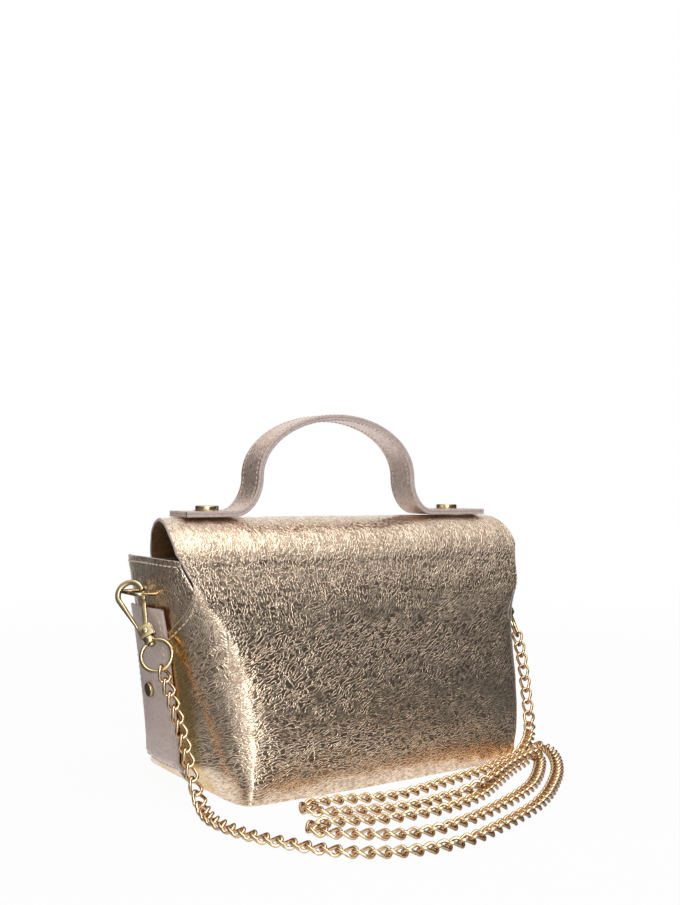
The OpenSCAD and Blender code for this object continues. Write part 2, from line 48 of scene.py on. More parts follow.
# ---------- the bag's plan, as in the CAD source (mm) ----------
LEVELS = [0, 0.05, 0.14, 0.3, 0.5, 0.7, 0.88, 1]
WALL_H, TOP_H, BASE_L, BASE_D, RIM_L, RIM_D = 118.0, 142.0, 188.0, 122.0, 234.0, 66.0
FOOT_RIDGE_L, RIM_RIDGE_L, RIDGE_FLAT, WING_H = 222.0, 248.0, 17.0, 83.0
RIGHT_SWELL = 9.0
LEATHER, GAP = 1.8, 0.3
FLAP_L, FLAP_FRONT_L, FLAP_LOW = 234.0, 168.0, 68.0
# the outline's u where a wing ends and where it joins the face, and the whole run of u
WING_END, WING_JOIN, RUN = 0.05, 2.0, 6.0


def smooth_table(shares):
    """Monotone cubic through the shares at the levels."""
    x, y = np.array(LEVELS, float), np.array(shares, float)
    h, d = np.diff(x), np.diff(y) / np.diff(x)
    m = np.zeros_like(x)
    both = d[:-1] * d[1:] > 0
    m[1:-1][both] = 2 * d[:-1][both] * d[1:][both] / (d[:-1] + d[1:])[both]
    m[0], m[-1] = d[0], d[-1]

    def f(z):
        s = np.clip(np.asarray(z, float) / WALL_H, 0, 1)
        i = np.clip(np.searchsorted(x, s) - 1, 0, len(h) - 1)
        t = (s - x[i]) / h[i]
        return ((1 + 2 * t) * (1 - t) ** 2 * y[i] + t * (1 - t) ** 2 * h[i] * m[i]
                + t * t * (3 - 2 * t) * y[i + 1] + t * t * (t - 1) * h[i] * m[i + 1])
    return f


corner_share = smooth_table([0, 0, 0.03, 0.08, 0.17, 0.4, 0.82, 1])
depth_share = smooth_table([0, 0, 0.03, 0.12, 0.28, 0.5, 0.77, 1])
foot_share = smooth_table([0.02, 0.3, 1, 1, 1, 1, 1, 1])
ridge_share = smooth_table([0, 0, 0, 0.12, 0.38, 0.62, 0.88, 1])
round_share = smooth_table([0.1, 0.12, 0.16, 0.2, 0.2, 0.16, 0.09, 0.05])
swell_share = smooth_table([0, 0.1, 0.6, 1, 0.85, 0.35, 0.15, 0])


def mix(a, b, t):
    return a + (b - a) * t


def corner_x(z):
    return mix(BASE_L, RIM_L, corner_share(z)) / 2


def depth_y(z):
    return mix(BASE_D, RIM_D, depth_share(z)) / 2


def ridge_x(z):
    return mix(mix(BASE_L, FOOT_RIDGE_L, foot_share(z)), RIM_RIDGE_L, ridge_share(z)) / 2


def outline(u, z, inset=0.0):
    """Point of the back half of the outline: u runs 0-6 from the left end to the right one."""
    u, z = np.broadcast_arrays(np.asarray(u, float), np.asarray(z, float))
    cx, cy, rx = corner_x(z) - inset, depth_y(z) - inset, ridge_x(z) - inset
    kept, full = 1 - round_share(z), RIGHT_SWELL * swell_share(z)
    px = np.stack([-rx, -rx, -cx, -cx * kept, cx * kept + full, cx + full, rx, rx])
    py = np.stack([RIDGE_FLAT + 0 * cx, -RIDGE_FLAT + 0 * cx, -cy * kept, -cy, -cy, -cy * kept,
                   -RIDGE_FLAT + 0 * cx, RIDGE_FLAT + 0 * cx])
    k = np.clip(np.floor(u).astype(int) + 1, 1, 6)
    t = u - (k - 1)
    pick = lambda p, j: np.take_along_axis(p, j[None], 0)[0]
    out = []
    for p in (px, py):
        a, b, c = pick(p, k - 1), pick(p, k), pick(p, k + 1)
        s, e = (a + b) / 2, (b + c) / 2
        out.append((1 - t) ** 2 * s + 2 * t * (1 - t) * b + t * t * e)
    return out[0], out[1]


# ---------- mesh helpers ----------
def fbm(points, scale, octaves=3, seed=0.0):
    """Smooth noise about -1 to 1 at points in mm."""
    off = Vector((seed * 17.3, seed * 5.1, seed * 9.7))
    return np.array([noise.fractal(Vector(p) / scale + off, 0.7, 2.0, octaves) for p in points])


def grid_normals(g):
    du, dv = np.gradient(g, axis=1), np.gradient(g, axis=0)
    n = np.cross(du, dv)
    return n / np.maximum(np.linalg.norm(n, axis=2, keepdims=True), 1e-9)


def new_object(name, verts, faces, mats, face_mats=None, smooth=True, uvs=None):
    mesh = bpy.data.meshes.new(name)
    points = [tuple(v) for v in np.asarray(verts) * MM]
    mesh.from_pydata(points, [], [tuple(int(i) for i in f) for f in faces])
    for m in mats:
        mesh.materials.append(m)
    if face_mats is not None:
        mesh.polygons.foreach_set("material_index", np.asarray(face_mats, np.int32))
    if smooth:
        mesh.polygons.foreach_set("use_smooth", np.ones(len(mesh.polygons), bool))
    if uvs is not None:
        layer = mesh.uv_layers.new(name="UVMap")
        loops = np.empty(len(mesh.loops), np.int32)
        mesh.loops.foreach_get("vertex_index", loops)
        layer.data.foreach_set("uv", np.asarray(uvs, np.float32)[loops].ravel())
    mesh.update()
    obj = bpy.data.objects.new(name, mesh)
    bpy.context.scene.collection.objects.link(obj)
    return obj


ALL_EDGES = [("b", 0, None), ("t", 0, None), ("l", 0, None), ("r", 0, None)]


def sheet_object(name, outer, thickness, mats, uv=None, normals=None, edges=ALL_EDGES, wave=None):
    """Leather sheet from a grid of outer points: outer face, inner face and rounded raw edges.
    mats are outer, inner and edge. normals point outwards."""
    rows, cols, _ = outer.shape
    n = grid_normals(outer) if normals is None else normals
    inner = outer - n * thickness
    if wave is not None:
        outer = outer + n * wave[..., None]
    verts, faces, fm, uvs = [], [], [], []
    count = rows * cols
    verts += list(outer.reshape(-1, 3)) + list(inner.reshape(-1, 3))
    if uv is None:
        uv = np.stack(np.meshgrid(np.arange(cols), np.arange(rows)), -1) * 1.0
    uvs += list(uv.reshape(-1, 2)) * 2
    r, c = np.meshgrid(np.arange(rows - 1), np.arange(cols - 1), indexing="ij")
    a = (r * cols + c).ravel()
    quad = np.stack([a, a + 1, a + cols + 1, a + cols], 1)
    faces += quad.tolist()
    fm += [0] * len(quad)
    faces += (quad[:, ::-1] + count).tolist()
    fm += [1] * len(quad)
    # raw edges: a half-round strip along each open border
    borders = []
    for side, first, last in edges:
        if side in "bt":
            last = cols - 1 if last is None else last
            line = [(0 if side == "b" else rows - 1, j) for j in range(first, last + 1)]
            borders.append((line, (1, 0)) if side == "b" else (line[::-1], (-1, 0)))
        else:
            last = rows - 1 if last is None else last
            line = [(i, 0 if side == "l" else cols - 1) for i in range(first, last + 1)]
            borders.append((line[::-1], (0, 1)) if side == "l" else (line, (0, -1)))
    for line, step in borders:
        start = len(verts)
        for (i, j) in line:
            o, q = outer[i, j], inner[i, j]
            back = outer[i + step[0], j + step[1]] - outer[i, j]
            back = back / max(np.linalg.norm(back), 1e-9)
            mid, half = (o + q) / 2, (o - q) / 2
            for ang in (45, 90, 135):
                w = math.radians(ang)
                verts.append(mid + half * math.cos(w) - back * np.linalg.norm(half) * 0.45 * math.sin(w))
                uvs.append(uv[i, j])
        for k in range(len(line) - 1):
            i0, i1 = line[k][0] * cols + line[k][1], line[k + 1][0] * cols + line[k + 1][1]
            s0, s1 = start + 3 * k, start + 3 * (k + 1)
            ring0, ring1 = [i0, s0, s0 + 1, s0 + 2, i0 + count], [i1, s1, s1 + 1, s1 + 2, i1 + count]
            for m in range(4):
                faces.append([ring0[m], ring0[m + 1], ring1[m + 1], ring1[m]])
                fm.append(2)
    return new_object(name, verts, faces, mats, fm, True, uvs)


def tube_points(path, radius, sides=8, closed=False, up=None, section=None):
    """Points and faces of a tube along a path. section is a list of (x, y) instead of a circle."""
    path = np.asarray(path, float)
    n = len(path)
    if closed:
        tan = np.roll(path, -1, 0) - np.roll(path, 1, 0)
    else:
        tan = np.gradient(path, axis=0)
    tan /= np.linalg.norm(tan, axis=1, keepdims=True)
    ref = np.array(up if up is not None else (0.0, 0.0, 1.0))
    frames, x = [], None
    for i in range(n):
        if up is not None or x is None:
            x = np.cross(ref, tan[i])
            if np.linalg.norm(x) < 1e-3:
                x = np.cross((1.0, 0.0, 0.0), tan[i])
        else:
            x = x - tan[i] * np.dot(x, tan[i])
        x = x / np.linalg.norm(x)
        frames.append((x, np.cross(tan[i], x)))
    if section is None:
        section = [(math.cos(2 * math.pi * k / sides) * radius, math.sin(2 * math.pi * k / sides) * radius)
                   for k in range(sides)]
    s = len(section)
    verts = [path[i] + a * frames[i][0] + b * frames[i][1] for i in range(n) for a, b in section]
    faces = []
    for i in range(n if closed else n - 1):
        j = (i + 1) % n
        for k in range(s):
            l = (k + 1) % s
            faces.append([i * s + k, i * s + l, j * s + l, j * s + k])
    if not closed:
        faces.append(list(range(s))[::-1])
        faces.append([(n - 1) * s + k for k in range(s)])
    return verts, faces


def merge(parts):
    verts, faces = [], []
    for v, f in parts:
        base = len(verts)
        verts += list(v)
        faces += [[i + base for i in q] for q in f]
    return verts, faces


def sheet_width(z):
    """Width of a wall's sheet in metres, measured along the outline at a height."""
    x, y = outline(np.linspace(WING_END, RUN - WING_END, 400), z)
    return float(np.hypot(np.diff(x), np.diff(y)).sum()) * MM


# ---------- materials ----------
def material(name):
    m = bpy.data.materials.new(name)
    m.use_nodes = True
    nt = m.node_tree
    nt.nodes.clear()
    out = nt.nodes.new("ShaderNodeOutputMaterial")
    bsdf = nt.nodes.new("ShaderNodeBsdfPrincipled")
    nt.links.new(bsdf.outputs[0], out.inputs[0])
    return m, nt, bsdf


def node(nt, kind, **values):
    n = nt.nodes.new(kind)
    for k, v in values.items():
        if k in n.inputs:
            n.inputs[k].default_value = v
        else:
            setattr(n, k, v)
    return n


def ramp(nt, src, stops):
    r = nt.nodes.new("ShaderNodeValToRGB")
    els = r.color_ramp.elements
    while len(els) < len(stops):
        els.new(0.5)
    for e, (p, c) in zip(els, stops):
        e.position, e.color = p, (*c, 1) if len(c) == 3 else c
    nt.links.new(src, r.inputs[0])
    return r.outputs[0]


def math_node(nt, op, *values):
    n = nt.nodes.new("ShaderNodeMath")
    n.operation = op
    for i, v in enumerate(values):
        if hasattr(v, "links"):
            nt.links.new(v, n.inputs[i])
        else:
            n.inputs[i].default_value = v
    return n.outputs[0]


def smooth(nt, src, low, high, to_low=0.0, to_high=1.0):
    n = nt.nodes.new("ShaderNodeMapRange")
    n.interpolation_type = "SMOOTHSTEP"
    nt.links.new(src, n.inputs["Value"])
    for k, v in (("From Min", low), ("From Max", high), ("To Min", to_low), ("To Max", to_high)):
        n.inputs[k].default_value = v
    return n.outputs[0]


def drawn(nt, at, angle, stretch):
    """Coordinates drawn out along one direction."""
    mp = node(nt, "ShaderNodeMapping", vector_type="TEXTURE")
    mp.inputs["Rotation"].default_value = (0, 0, angle)
    mp.inputs["Scale"].default_value = (1.0, stretch, 1)
    nt.links.new(at, mp.inputs["Vector"])
    return mp.outputs[0]


def ridges(nt, at, scale, width, detail=1.0):
    """Thin crests that wander, where smooth noise crosses its middle."""
    n = node(nt, "ShaderNodeTexNoise", Scale=scale, Detail=detail, Roughness=0.45)
    nt.links.new(at, n.inputs["Vector"])
    off = math_node(nt, "ABSOLUTE", math_node(nt, "SUBTRACT", n.outputs["Fac"], 0.5))
    return smooth(nt, off, width, 0.0)


def foil_material(name, light, dark, rough, crinkle, scale=1.0, metallic=1.0, calm=None, painted_gold_reflection=None):
    """Foil-faced leather. The creases run up and down near the top edge, slant in the middle and lie
    level at the lower end. calm is the height below which they fade out, in metres. painted_gold_reflection
    is the width over which a painted reflection of the gold chain and hooks turns the foil golden towards
    the sheet's left and right edges, and the sheet's width. The colour is painted shade in the crease
    hollows and a painted highlight on the crests."""
    m, nt, bsdf = material(name)
    uv = node(nt, "ShaderNodeUVMap")
    place = node(nt, "ShaderNodeSeparateXYZ")
    nt.links.new(uv.outputs[0], place.inputs[0])
    warp = node(nt, "ShaderNodeTexNoise", Scale=170.0 * scale, Detail=2.0)
    nt.links.new(uv.outputs[0], warp.inputs["Vector"])
    wide = node(nt, "ShaderNodeTexNoise", Scale=30.0 * scale, Detail=2.0)
    nt.links.new(uv.outputs[0], wide.inputs["Vector"])
    at = uv.outputs[0]
    for source, reach in ((warp, 0.0012 / scale), (wide, 0.010 / scale)):
        add = nt.nodes.new("ShaderNodeVectorMath")
        add.operation = "MULTIPLY_ADD"
        nt.links.new(source.outputs["Color"], add.inputs[0])
        add.inputs[1].default_value = (reach, reach, 0.0)
        nt.links.new(at, add.inputs[2])
        at = add.outputs[0]
    drift = math_node(nt, "ADD", place.outputs["Y"], math_node(nt, "MULTIPLY", wide.outputs["Fac"], 0.06))
    high = smooth(nt, drift, 0.105, 0.140)
    low = smooth(nt, drift, 0.085, 0.055)
    rest = math_node(nt, "SUBTRACT", math_node(nt, "SUBTRACT", 1.0, high), low)
    crest, fold = 0.0, 0.0
    for angle, stretch, share in ((-0.2, 2.6, high), (-1.0, 3.0, rest), (-1.4, 2.8, low)):
        lay = drawn(nt, at, angle, stretch)
        long = math_node(nt, "MULTIPLY", ridges(nt, lay, 120.0 * scale, 0.025), 0.7)
        both = math_node(nt, "MAXIMUM", ridges(nt, lay, 350.0 * scale, 0.07), long)
        grain = node(nt, "ShaderNodeTexNoise", Scale=560.0 * scale, Detail=2.0, Roughness=0.55)
        nt.links.new(lay, grain.inputs["Vector"])
        crest = math_node(nt, "MULTIPLY_ADD", both, share, crest)
        fold = math_node(nt, "MULTIPLY_ADD", grain.outputs["Fac"], share, fold)
    height = math_node(nt, "MULTIPLY_ADD", crest, 0.34, math_node(nt, "MULTIPLY", fold, 0.55))
    if calm is not None:
        share = smooth(nt, place.outputs["Y"], calm[0], calm[1], 0.35, 1.0)
        height = math_node(nt, "MULTIPLY", height, share)
    if painted_gold_reflection is not None:
        # Painted reflection of the gold chain and hooks: the foil turns golden towards the sheet's left and
        # right edges, with flatter creases there.
        edge = math_node(nt, "ABSOLUTE", math_node(nt, "SUBTRACT", place.outputs["X"], painted_gold_reflection[1] / 2))
        gold_reflection_share = smooth(nt, edge, painted_gold_reflection[1] / 2 - painted_gold_reflection[0] * 1.3, painted_gold_reflection[1] / 2 - painted_gold_reflection[0])
        flatter = math_node(nt, "SUBTRACT", 1.0, math_node(nt, "MULTIPLY", gold_reflection_share, 0.7))
        height = math_node(nt, "MULTIPLY", height, flatter)
    bump = node(nt, "ShaderNodeBump", Strength=crinkle, Distance=0.00058 / scale)
    nt.links.new(height, bump.inputs["Height"])
    nt.links.new(bump.outputs[0], bsdf.inputs["Normal"])
    # The colour follows the crease height: painted shade in the crease hollows and a painted highlight on
    # the crests.
    tone = math_node(nt, "MULTIPLY_ADD", crest, 0.45, math_node(nt, "MULTIPLY", fold, 0.7))
    colour = ramp(nt, tone, [(0.2, dark), (0.5, light)])
    if painted_gold_reflection is not None:
        golden = node(nt, "ShaderNodeMix", data_type="RGBA")
        nt.links.new(gold_reflection_share, golden.inputs[0])
        nt.links.new(colour, golden.inputs[6])
        # The golden colour is a painted reflection, painted darker in the crease hollows as shade.
        gold = ramp(nt, tone, [(0.15, (0.50, 0.31, 0.11)), (0.6, (0.78, 0.53, 0.24))])
        nt.links.new(gold, golden.inputs[7])
        colour = golden.outputs[2]
    nt.links.new(colour, bsdf.inputs["Base Color"])
    bsdf.inputs["Metallic"].default_value = metallic
    bsdf.inputs["Roughness"].default_value = rough
    return m


def metal_material(name, colour, shade, rough):
    """Polished metal that turns dark towards its edges as painted shade, with a painted highlight where it
    faces the view.
    """
    m, nt, bsdf = material(name)
    bsdf.inputs["Metallic"].default_value = 1.0
    bsdf.inputs["Roughness"].default_value = rough
    turn = node(nt, "ShaderNodeLayerWeight", Blend=0.5)
    tc = node(nt, "ShaderNodeTexCoord")
    n = node(nt, "ShaderNodeTexNoise", Scale=300.0, Detail=3.0)
    nt.links.new(tc.outputs["Object"], n.inputs["Vector"])
    # Painted shade: the colour darkens where the surface turns away from the view, leaving a painted
    # highlight along the middle; the noise adds an uneven tone.
    at = math_node(nt, "ADD", turn.outputs["Facing"], smooth(nt, n.outputs["Fac"], 0.3, 0.7, -0.06, 0.06))
    mid = tuple((c + s) / 2 for c, s in zip(colour, shade))
    nt.links.new(ramp(nt, at, [(0.04, colour), (0.28, mid), (0.6, shade)]), bsdf.inputs["Base Color"])
    return m


def plain_material(name, colour, rough, vary, vary_scale=300.0, bump=0.0):
    """Matt material with an uneven tone and, if asked, a fine grain."""
    m, nt, bsdf = material(name)
    bsdf.inputs["Roughness"].default_value = rough
    tc = node(nt, "ShaderNodeTexCoord")
    n = node(nt, "ShaderNodeTexNoise", Scale=vary_scale, Detail=3.0)
    nt.links.new(tc.outputs["Object"], n.inputs["Vector"])
    lo = tuple(max(0.0, c * (1 - vary)) for c in colour)
    hi = tuple(min(1.0, c * (1 + vary)) for c in colour)
    nt.links.new(ramp(nt, n.outputs[0], [(0.3, lo), (0.7, hi)]), bsdf.inputs["Base Color"])
    if bump:
        b = node(nt, "ShaderNodeTexNoise", Scale=900.0, Detail=3.0)
        nt.links.new(tc.outputs["Object"], b.inputs["Vector"])
        bn = node(nt, "ShaderNodeBump", Strength=bump, Distance=0.0003)
        nt.links.new(b.outputs[0], bn.inputs["Height"])
        nt.links.new(bn.outputs[0], bsdf.inputs["Normal"])
    return m


CREASES = 1.9    # how much finer than life-size leather grain the foil's creases are drawn
WIDEST_Z = 70.0
# The two foil colours are the ends of a painted crease shading: the dark one is painted shade in the
# hollows, the light one a painted highlight on the crests.
FOIL_LIGHT, FOIL_CREASE_SHADE, CALM = (0.90, 0.73, 0.56), (0.42, 0.26, 0.17), (0.004, 0.024)
FOIL = foil_material("foil", FOIL_LIGHT, FOIL_CREASE_SHADE, 0.18, 1.0, CREASES, calm=CALM)
# The wall's foil carries a painted reflection of the gold chain and hooks along its left and right edges.
FOIL_WALL = foil_material("foil_wall", FOIL_LIGHT, FOIL_CREASE_SHADE, 0.18, 1.0, CREASES, calm=CALM,
                          painted_gold_reflection=(0.024, sheet_width(WIDEST_Z)))
# As above, each foil's second colour is the painted shade in its crease hollows.
FOIL_STRAP = foil_material("foil_strap", (0.86, 0.68, 0.58), (0.50, 0.32, 0.26), 0.30, 0.8, CREASES,
                           metallic=0.8)
FOIL_LINING = foil_material("foil_lining", (0.90, 0.76, 0.70), (0.62, 0.48, 0.43), 0.34, 0.9, CREASES,
                            metallic=0.6)
FOIL_SOFT = foil_material("foil_soft", (0.80, 0.66, 0.60), (0.66, 0.53, 0.48), 0.42, 0.3, metallic=0.35)
SUEDE = plain_material("suede", (0.33, 0.18, 0.08), 0.95, vary=0.3, vary_scale=400, bump=0.6)
RAW = plain_material("raw_edge", (0.56, 0.46, 0.43), 0.85, vary=0.12, vary_scale=500, bump=0.4)
THREAD = plain_material("thread", (0.72, 0.62, 0.54), 0.7, vary=0.08)
# The second colour of each metal is the painted shade at its edges.
GOLD = metal_material("gold", (0.98, 0.80, 0.48), (0.20, 0.12, 0.05), 0.12)
ROSE = metal_material("rose_gold", (1.0, 0.76, 0.48), (0.36, 0.19, 0.08), 0.15)
BOARD = plain_material("board_card", (0.10, 0.09, 0.08), 0.8, vary=0.2)


# ---------- back sheet, front wall and flap ----------
ARCH_POWER = 1.6
HINGE_Z = WALL_H + GAP
FRONT_OFFSET = 5.6
FRONT_Y = RIM_D / 2 + FRONT_OFFSET
CUT_Z = 112.0
ARCH_Y, ARCH_Z = (-RIM_D / 2, -RIM_D / 2 + 5.8, -16.0, 0), (HINGE_Z, HINGE_Z + 12.7, TOP_H, TOP_H)
fine = 1.0


def n_of(count):
    return max(4, int(count * fine))


def arch_outer(t):
    """Outer face of the arch, t from 0 at the hinge to 180 at the front. It leans on from the wall."""
    if t < 90:
        k = t / 90
        share = ((1 - k) ** 3, 3 * k * (1 - k) ** 2, 3 * k * k * (1 - k), k ** 3)
        return float(np.dot(share, ARCH_Y)), float(np.dot(share, ARCH_Z))
    c = math.cos(math.radians(t))
    half = FRONT_Y + 0.9
    rise = max(0.0, 1 - abs(c) ** ARCH_POWER) ** (1 / ARCH_POWER)
    return -c * half, HINGE_Z + (TOP_H - HINGE_Z) * rise


def even_u(z, u0, u1, count):
    """u values at even distances along the outline at a height."""
    u = np.linspace(u0, u1, 2001)
    x, y = outline(u, z)
    s = np.concatenate([[0], np.cumsum(np.hypot(np.diff(x), np.diff(y)))])
    return np.interp(np.linspace(0, s[-1], count), s, u)


def wing_top(us, z_mid):
    """Top of the wall over each column: level over the sheet, falling along the wings."""
    x, y = outline(us, WALL_H)
    share = np.clip(1 + (y + RIDGE_FLAT) / (RIM_D / 2 - RIDGE_FLAT), 0, 1)
    fall = (z_mid - WING_H) * np.sqrt(np.clip(share * 1.05 - 0.05, 0, 1))
    return np.where((us < WING_JOIN) | (us > RUN - WING_JOIN), z_mid - fall, z_mid)


def wall_grid(us, tops, rows, inset=0.0):
    g = np.zeros((rows, len(us), 3))
    for i, s in enumerate(np.linspace(0, 1, rows)):
        z = tops * s
        g[i, :, 0], g[i, :, 1] = outline(us, z, inset)
        g[i, :, 2] = z
    return g


def crease_field(g, seed, fold=0.35, crumple=0.25):
    """Height of the creases in mm over a grid of points: long soft folds and a fine crumple."""
    p = g.reshape(-1, 3)
    folds = fbm(np.column_stack([p[:, 0] * 1.3 + p[:, 2] * 0.5, p[:, 1], p[:, 2] * 0.7]), 26.0, 2, seed)
    ridged = 1 - np.abs(fbm(np.column_stack([p[:, 0], p[:, 1], p[:, 2] * 0.8]), 9.0, 2, seed + 3))
    return (fold * folds + crumple * (ridged - 0.7)).reshape(g.shape[:2])


WING_COLS, MID_COLS = n_of(60), n_of(330)
SPREAD_Z = 60.0    # the columns are evenly spread at this height
US = np.concatenate([even_u(SPREAD_Z, WING_END, WING_JOIN, WING_COLS)[:-1],
                     even_u(SPREAD_Z, WING_JOIN, RUN - WING_JOIN, MID_COLS),
                     even_u(SPREAD_Z, RUN - WING_JOIN, RUN - WING_END, WING_COLS)[1:]])
MID = slice(WING_COLS - 1, WING_COLS - 1 + MID_COLS)
MID_US = US[MID]


TAPER_Y = (-20, -5, 10, 25, FRONT_Y, depth_y(FLAP_LOW) + FRONT_OFFSET)
TAPER = (1, 0.98, 0.95, 0.91, 0.86, FLAP_FRONT_L / FLAP_L)


def sheet_row(y_mid, z, blend):
    """One row above the walls: straight along the flap, taking over the corner's rounding from the rim."""
    x, y = outline(MID_US, WALL_H)
    taper = np.interp(y_mid, TAPER_Y, TAPER)
    x = x * mix(1.0, FLAP_L / 2 / x.max(), min(1.0, blend * 1.5)) * taper
    row = np.zeros((len(x), 3))
    row[:, 0] = x
    row[:, 1] = y_mid + (y + RIM_D / 2) * max(0.0, 1 - blend)
    row[:, 2] = z
    return row


def build_sheet():
    wall = wall_grid(US, wing_top(US, CUT_Z), n_of(130))
    upper = [wall_grid(MID_US, np.full(len(MID_US), z), 2)[1] for z in np.linspace(CUT_Z, WALL_H, 6)]
    for t in np.linspace(0, 180, n_of(90))[1:]:
        y, z = arch_outer(t)
        upper.append(sheet_row(y, z, t / 25))
    for z in np.linspace(WALL_H - 1, FLAP_LOW, n_of(46)):
        upper.append(sheet_row(depth_y(z) + FRONT_OFFSET + 0.9, z, 1.0))
    upper = np.array(upper)
    n_wall = grid_normals(wall)
    both = np.concatenate([wall[-3:, MID], upper[1:]])
    n_both = grid_normals(both)
    n_wall[-1, MID] = n_both[2]
    return wall, n_wall, upper, n_both[2:]


def uv_of(g, us_x):
    """Flat coordinates of a sheet in metres: across along the widest row, up along each column."""
    steps = np.linalg.norm(np.diff(g, axis=0), axis=2)
    v = np.concatenate([np.zeros((1, g.shape[1])), np.cumsum(steps, axis=0)])
    return np.stack(np.broadcast_arrays(us_x[None, :], v), -1) * MM


def along(us, z):
    """Distances of the columns along the outline at a height."""
    x, y = outline(us, z)
    return np.concatenate([[0], np.cumsum(np.hypot(np.diff(x), np.diff(y)))])


wall_back, n_back, upper, n_upper = build_sheet()
across = along(US, WIDEST_Z)
field_back = crease_field(wall_back, 1.0)
field_upper = crease_field(upper, 1.0)
uv_back, uv_upper = uv_of(wall_back, across), uv_of(upper, across[MID])
uv_upper[..., 1] += uv_back[-1, MID, 1][None]
first_mid, last_mid = WING_COLS - 1, WING_COLS - 2 + MID_COLS
back_wall = sheet_object(
    "back_wall", wall_back, LEATHER, (FOIL_WALL, SUEDE, RAW), uv_back, n_back,
    [("b", 0, None), ("t", 0, first_mid), ("t", last_mid, None), ("l", 0, None), ("r", 0, None)],
    field_back)
flap_sheet = sheet_object("flap_sheet", upper, LEATHER, (FOIL, SUEDE, RAW), uv_upper, n_upper,
                          [("t", 0, None), ("l", 0, None), ("r", 0, None)], field_upper)

front = wall_grid(US, wing_top(US, WALL_H), n_of(90))
front[..., 1] *= -1
front = front[:, ::-1]
front_wall = sheet_object("front_wall", front, LEATHER, (FOIL_WALL, SUEDE, RAW), uv_of(front, across), None,
                          ALL_EDGES, crease_field(front, 5.0))


# ---------- gussets, side strips ----------
GUSSET_LOW, GUSSET_H, GUSSET_T, GUSSET_SHARE = 66.0, 121.5, 1.2, 0.93
GUSSET_INSET = LEATHER + GAP
STRIP_LOW, STRIP_HIGH, STRIP_HALF, STRIP_ROUND = 9.0, 95.0, 19, 7.0
STRIP_FACE = 1.2 * GAP + LEATHER


def end_reach(z, inset, y, end):
    """Distance of an end's face (-1 left, 1 right) from the middle at a height, for each y."""
    us = np.linspace(3 + 3 * end, 3 + 0.4 * end, 300)
    x0, y0 = outline(us, np.full(300, min(float(z), WALL_H)), inset)
    return np.interp(np.abs(y), -y0, end * x0)


def gusset_grid(end):
    """Outer face of a gusset. It widens a little where it laps the walls."""
    k = np.linspace(1, -1, n_of(90))
    rows = n_of(60)
    g = np.zeros((rows, len(k), 3))
    for i, s in enumerate(np.linspace(0, 1, rows)):
        z = mix(GUSSET_LOW, GUSSET_H - k * k, s)
        y = k * GUSSET_SHARE * (depth_y(np.maximum(z, WING_H)) - GUSSET_INSET - GUSSET_T)
        g[i, :, 0] = -end_reach(z.mean(), GUSSET_INSET, y, end)
        g[i, :, 1], g[i, :, 2] = y * np.where(k > 0, 1 + 0.22 * s * s, 1.08), z
    return g


def strip_grid(end):
    """Outer face of a side strip, rounded at its lower corners."""
    k = np.linspace(1, -1, n_of(60))
    rows = n_of(110)
    g = np.zeros((rows, len(k), 3))
    for i, z in enumerate(mix(STRIP_LOW, STRIP_HIGH, np.linspace(0, 1, rows) ** 1.15)):
        low = max(0.0, STRIP_ROUND - (z - STRIP_LOW))
        y = k * (STRIP_HALF - STRIP_ROUND + math.sqrt(max(0.0, STRIP_ROUND * STRIP_ROUND - low * low)))
        g[i, :, 0] = -end_reach(z, -STRIP_FACE, y, end)
        g[i, :, 1], g[i, :, 2] = y, z
    return g


def mirrored(g):
    h = g[:, ::-1].copy()
    h[..., 0] *= -1
    return h


def flat_uv(g):
    return np.stack([g[..., 1], g[..., 2]], -1) * MM


def end_grids(end):
    g, st = gusset_grid(end), strip_grid(end)
    return (mirrored(g), mirrored(st)) if end > 0 else (g, st)


pieces = {}
for side, end in (("left", -1), ("right", 1)):
    g, st = end_grids(end)
    pieces["gusset_" + side] = sheet_object(
        "gusset_piece_" + side, g, GUSSET_T, (FOIL, SUEDE, RAW), flat_uv(g), None, ALL_EDGES,
        crease_field(g, 8.0, 0.45, 0.45))
    pieces["strip_" + side] = sheet_object(
        "side_strip_piece_" + side, st, LEATHER, (FOIL_SOFT, SUEDE, RAW), flat_uv(st), None, ALL_EDGES,
        crease_field(st, 11.0, 0.25, 0.05))


# ---------- stitching ----------
def stitch_parts(points, normals, pitch=3.4, length=2.3, radius=0.34):
    """Small thread capsules along a line of points, lying on the leather."""
    points, normals = np.asarray(points, float), np.asarray(normals, float)
    s = np.concatenate([[0], np.cumsum(np.linalg.norm(np.diff(points, axis=0), axis=1))])
    parts = []
    for a in np.arange(pitch / 2, s[-1] - length, pitch):
        at = np.linspace(a, a + length, 5)
        p = np.stack([np.interp(at, s, points[:, k]) for k in range(3)], 1)
        n = np.stack([np.interp(at, s, normals[:, k]) for k in range(3)], 1)
        lift = np.array([-0.25, 0.12, 0.2, 0.12, -0.25])[:, None]
        parts.append(tube_points(p + n * lift, radius, 6))
    return parts


def inset_top_line(g, n, wave, depth, cols):
    """The line at a given distance below the top border over some columns."""
    pts, nrm = [], []
    for j in cols:
        col = g[:, j] + n[:, j] * wave[:, j, None]
        s = np.concatenate([[0], np.cumsum(np.linalg.norm(np.diff(col, axis=0), axis=1))])
        at = s[-1] - depth
        pts.append([np.interp(at, s, col[:, k]) for k in range(3)])
        nrm.append([np.interp(at, s, n[:, j, k]) for k in range(3)])
    return np.array(pts), np.array(nrm)


wing_parts = []
for cols in (range(4, WING_COLS), range(WING_COLS + MID_COLS - 2, len(US) - 4)):
    wing_parts += stitch_parts(*inset_top_line(wall_back, n_back, field_back, 3.2, cols))
stitches_back = new_object("wing_stitching", *merge(wing_parts), [THREAD])

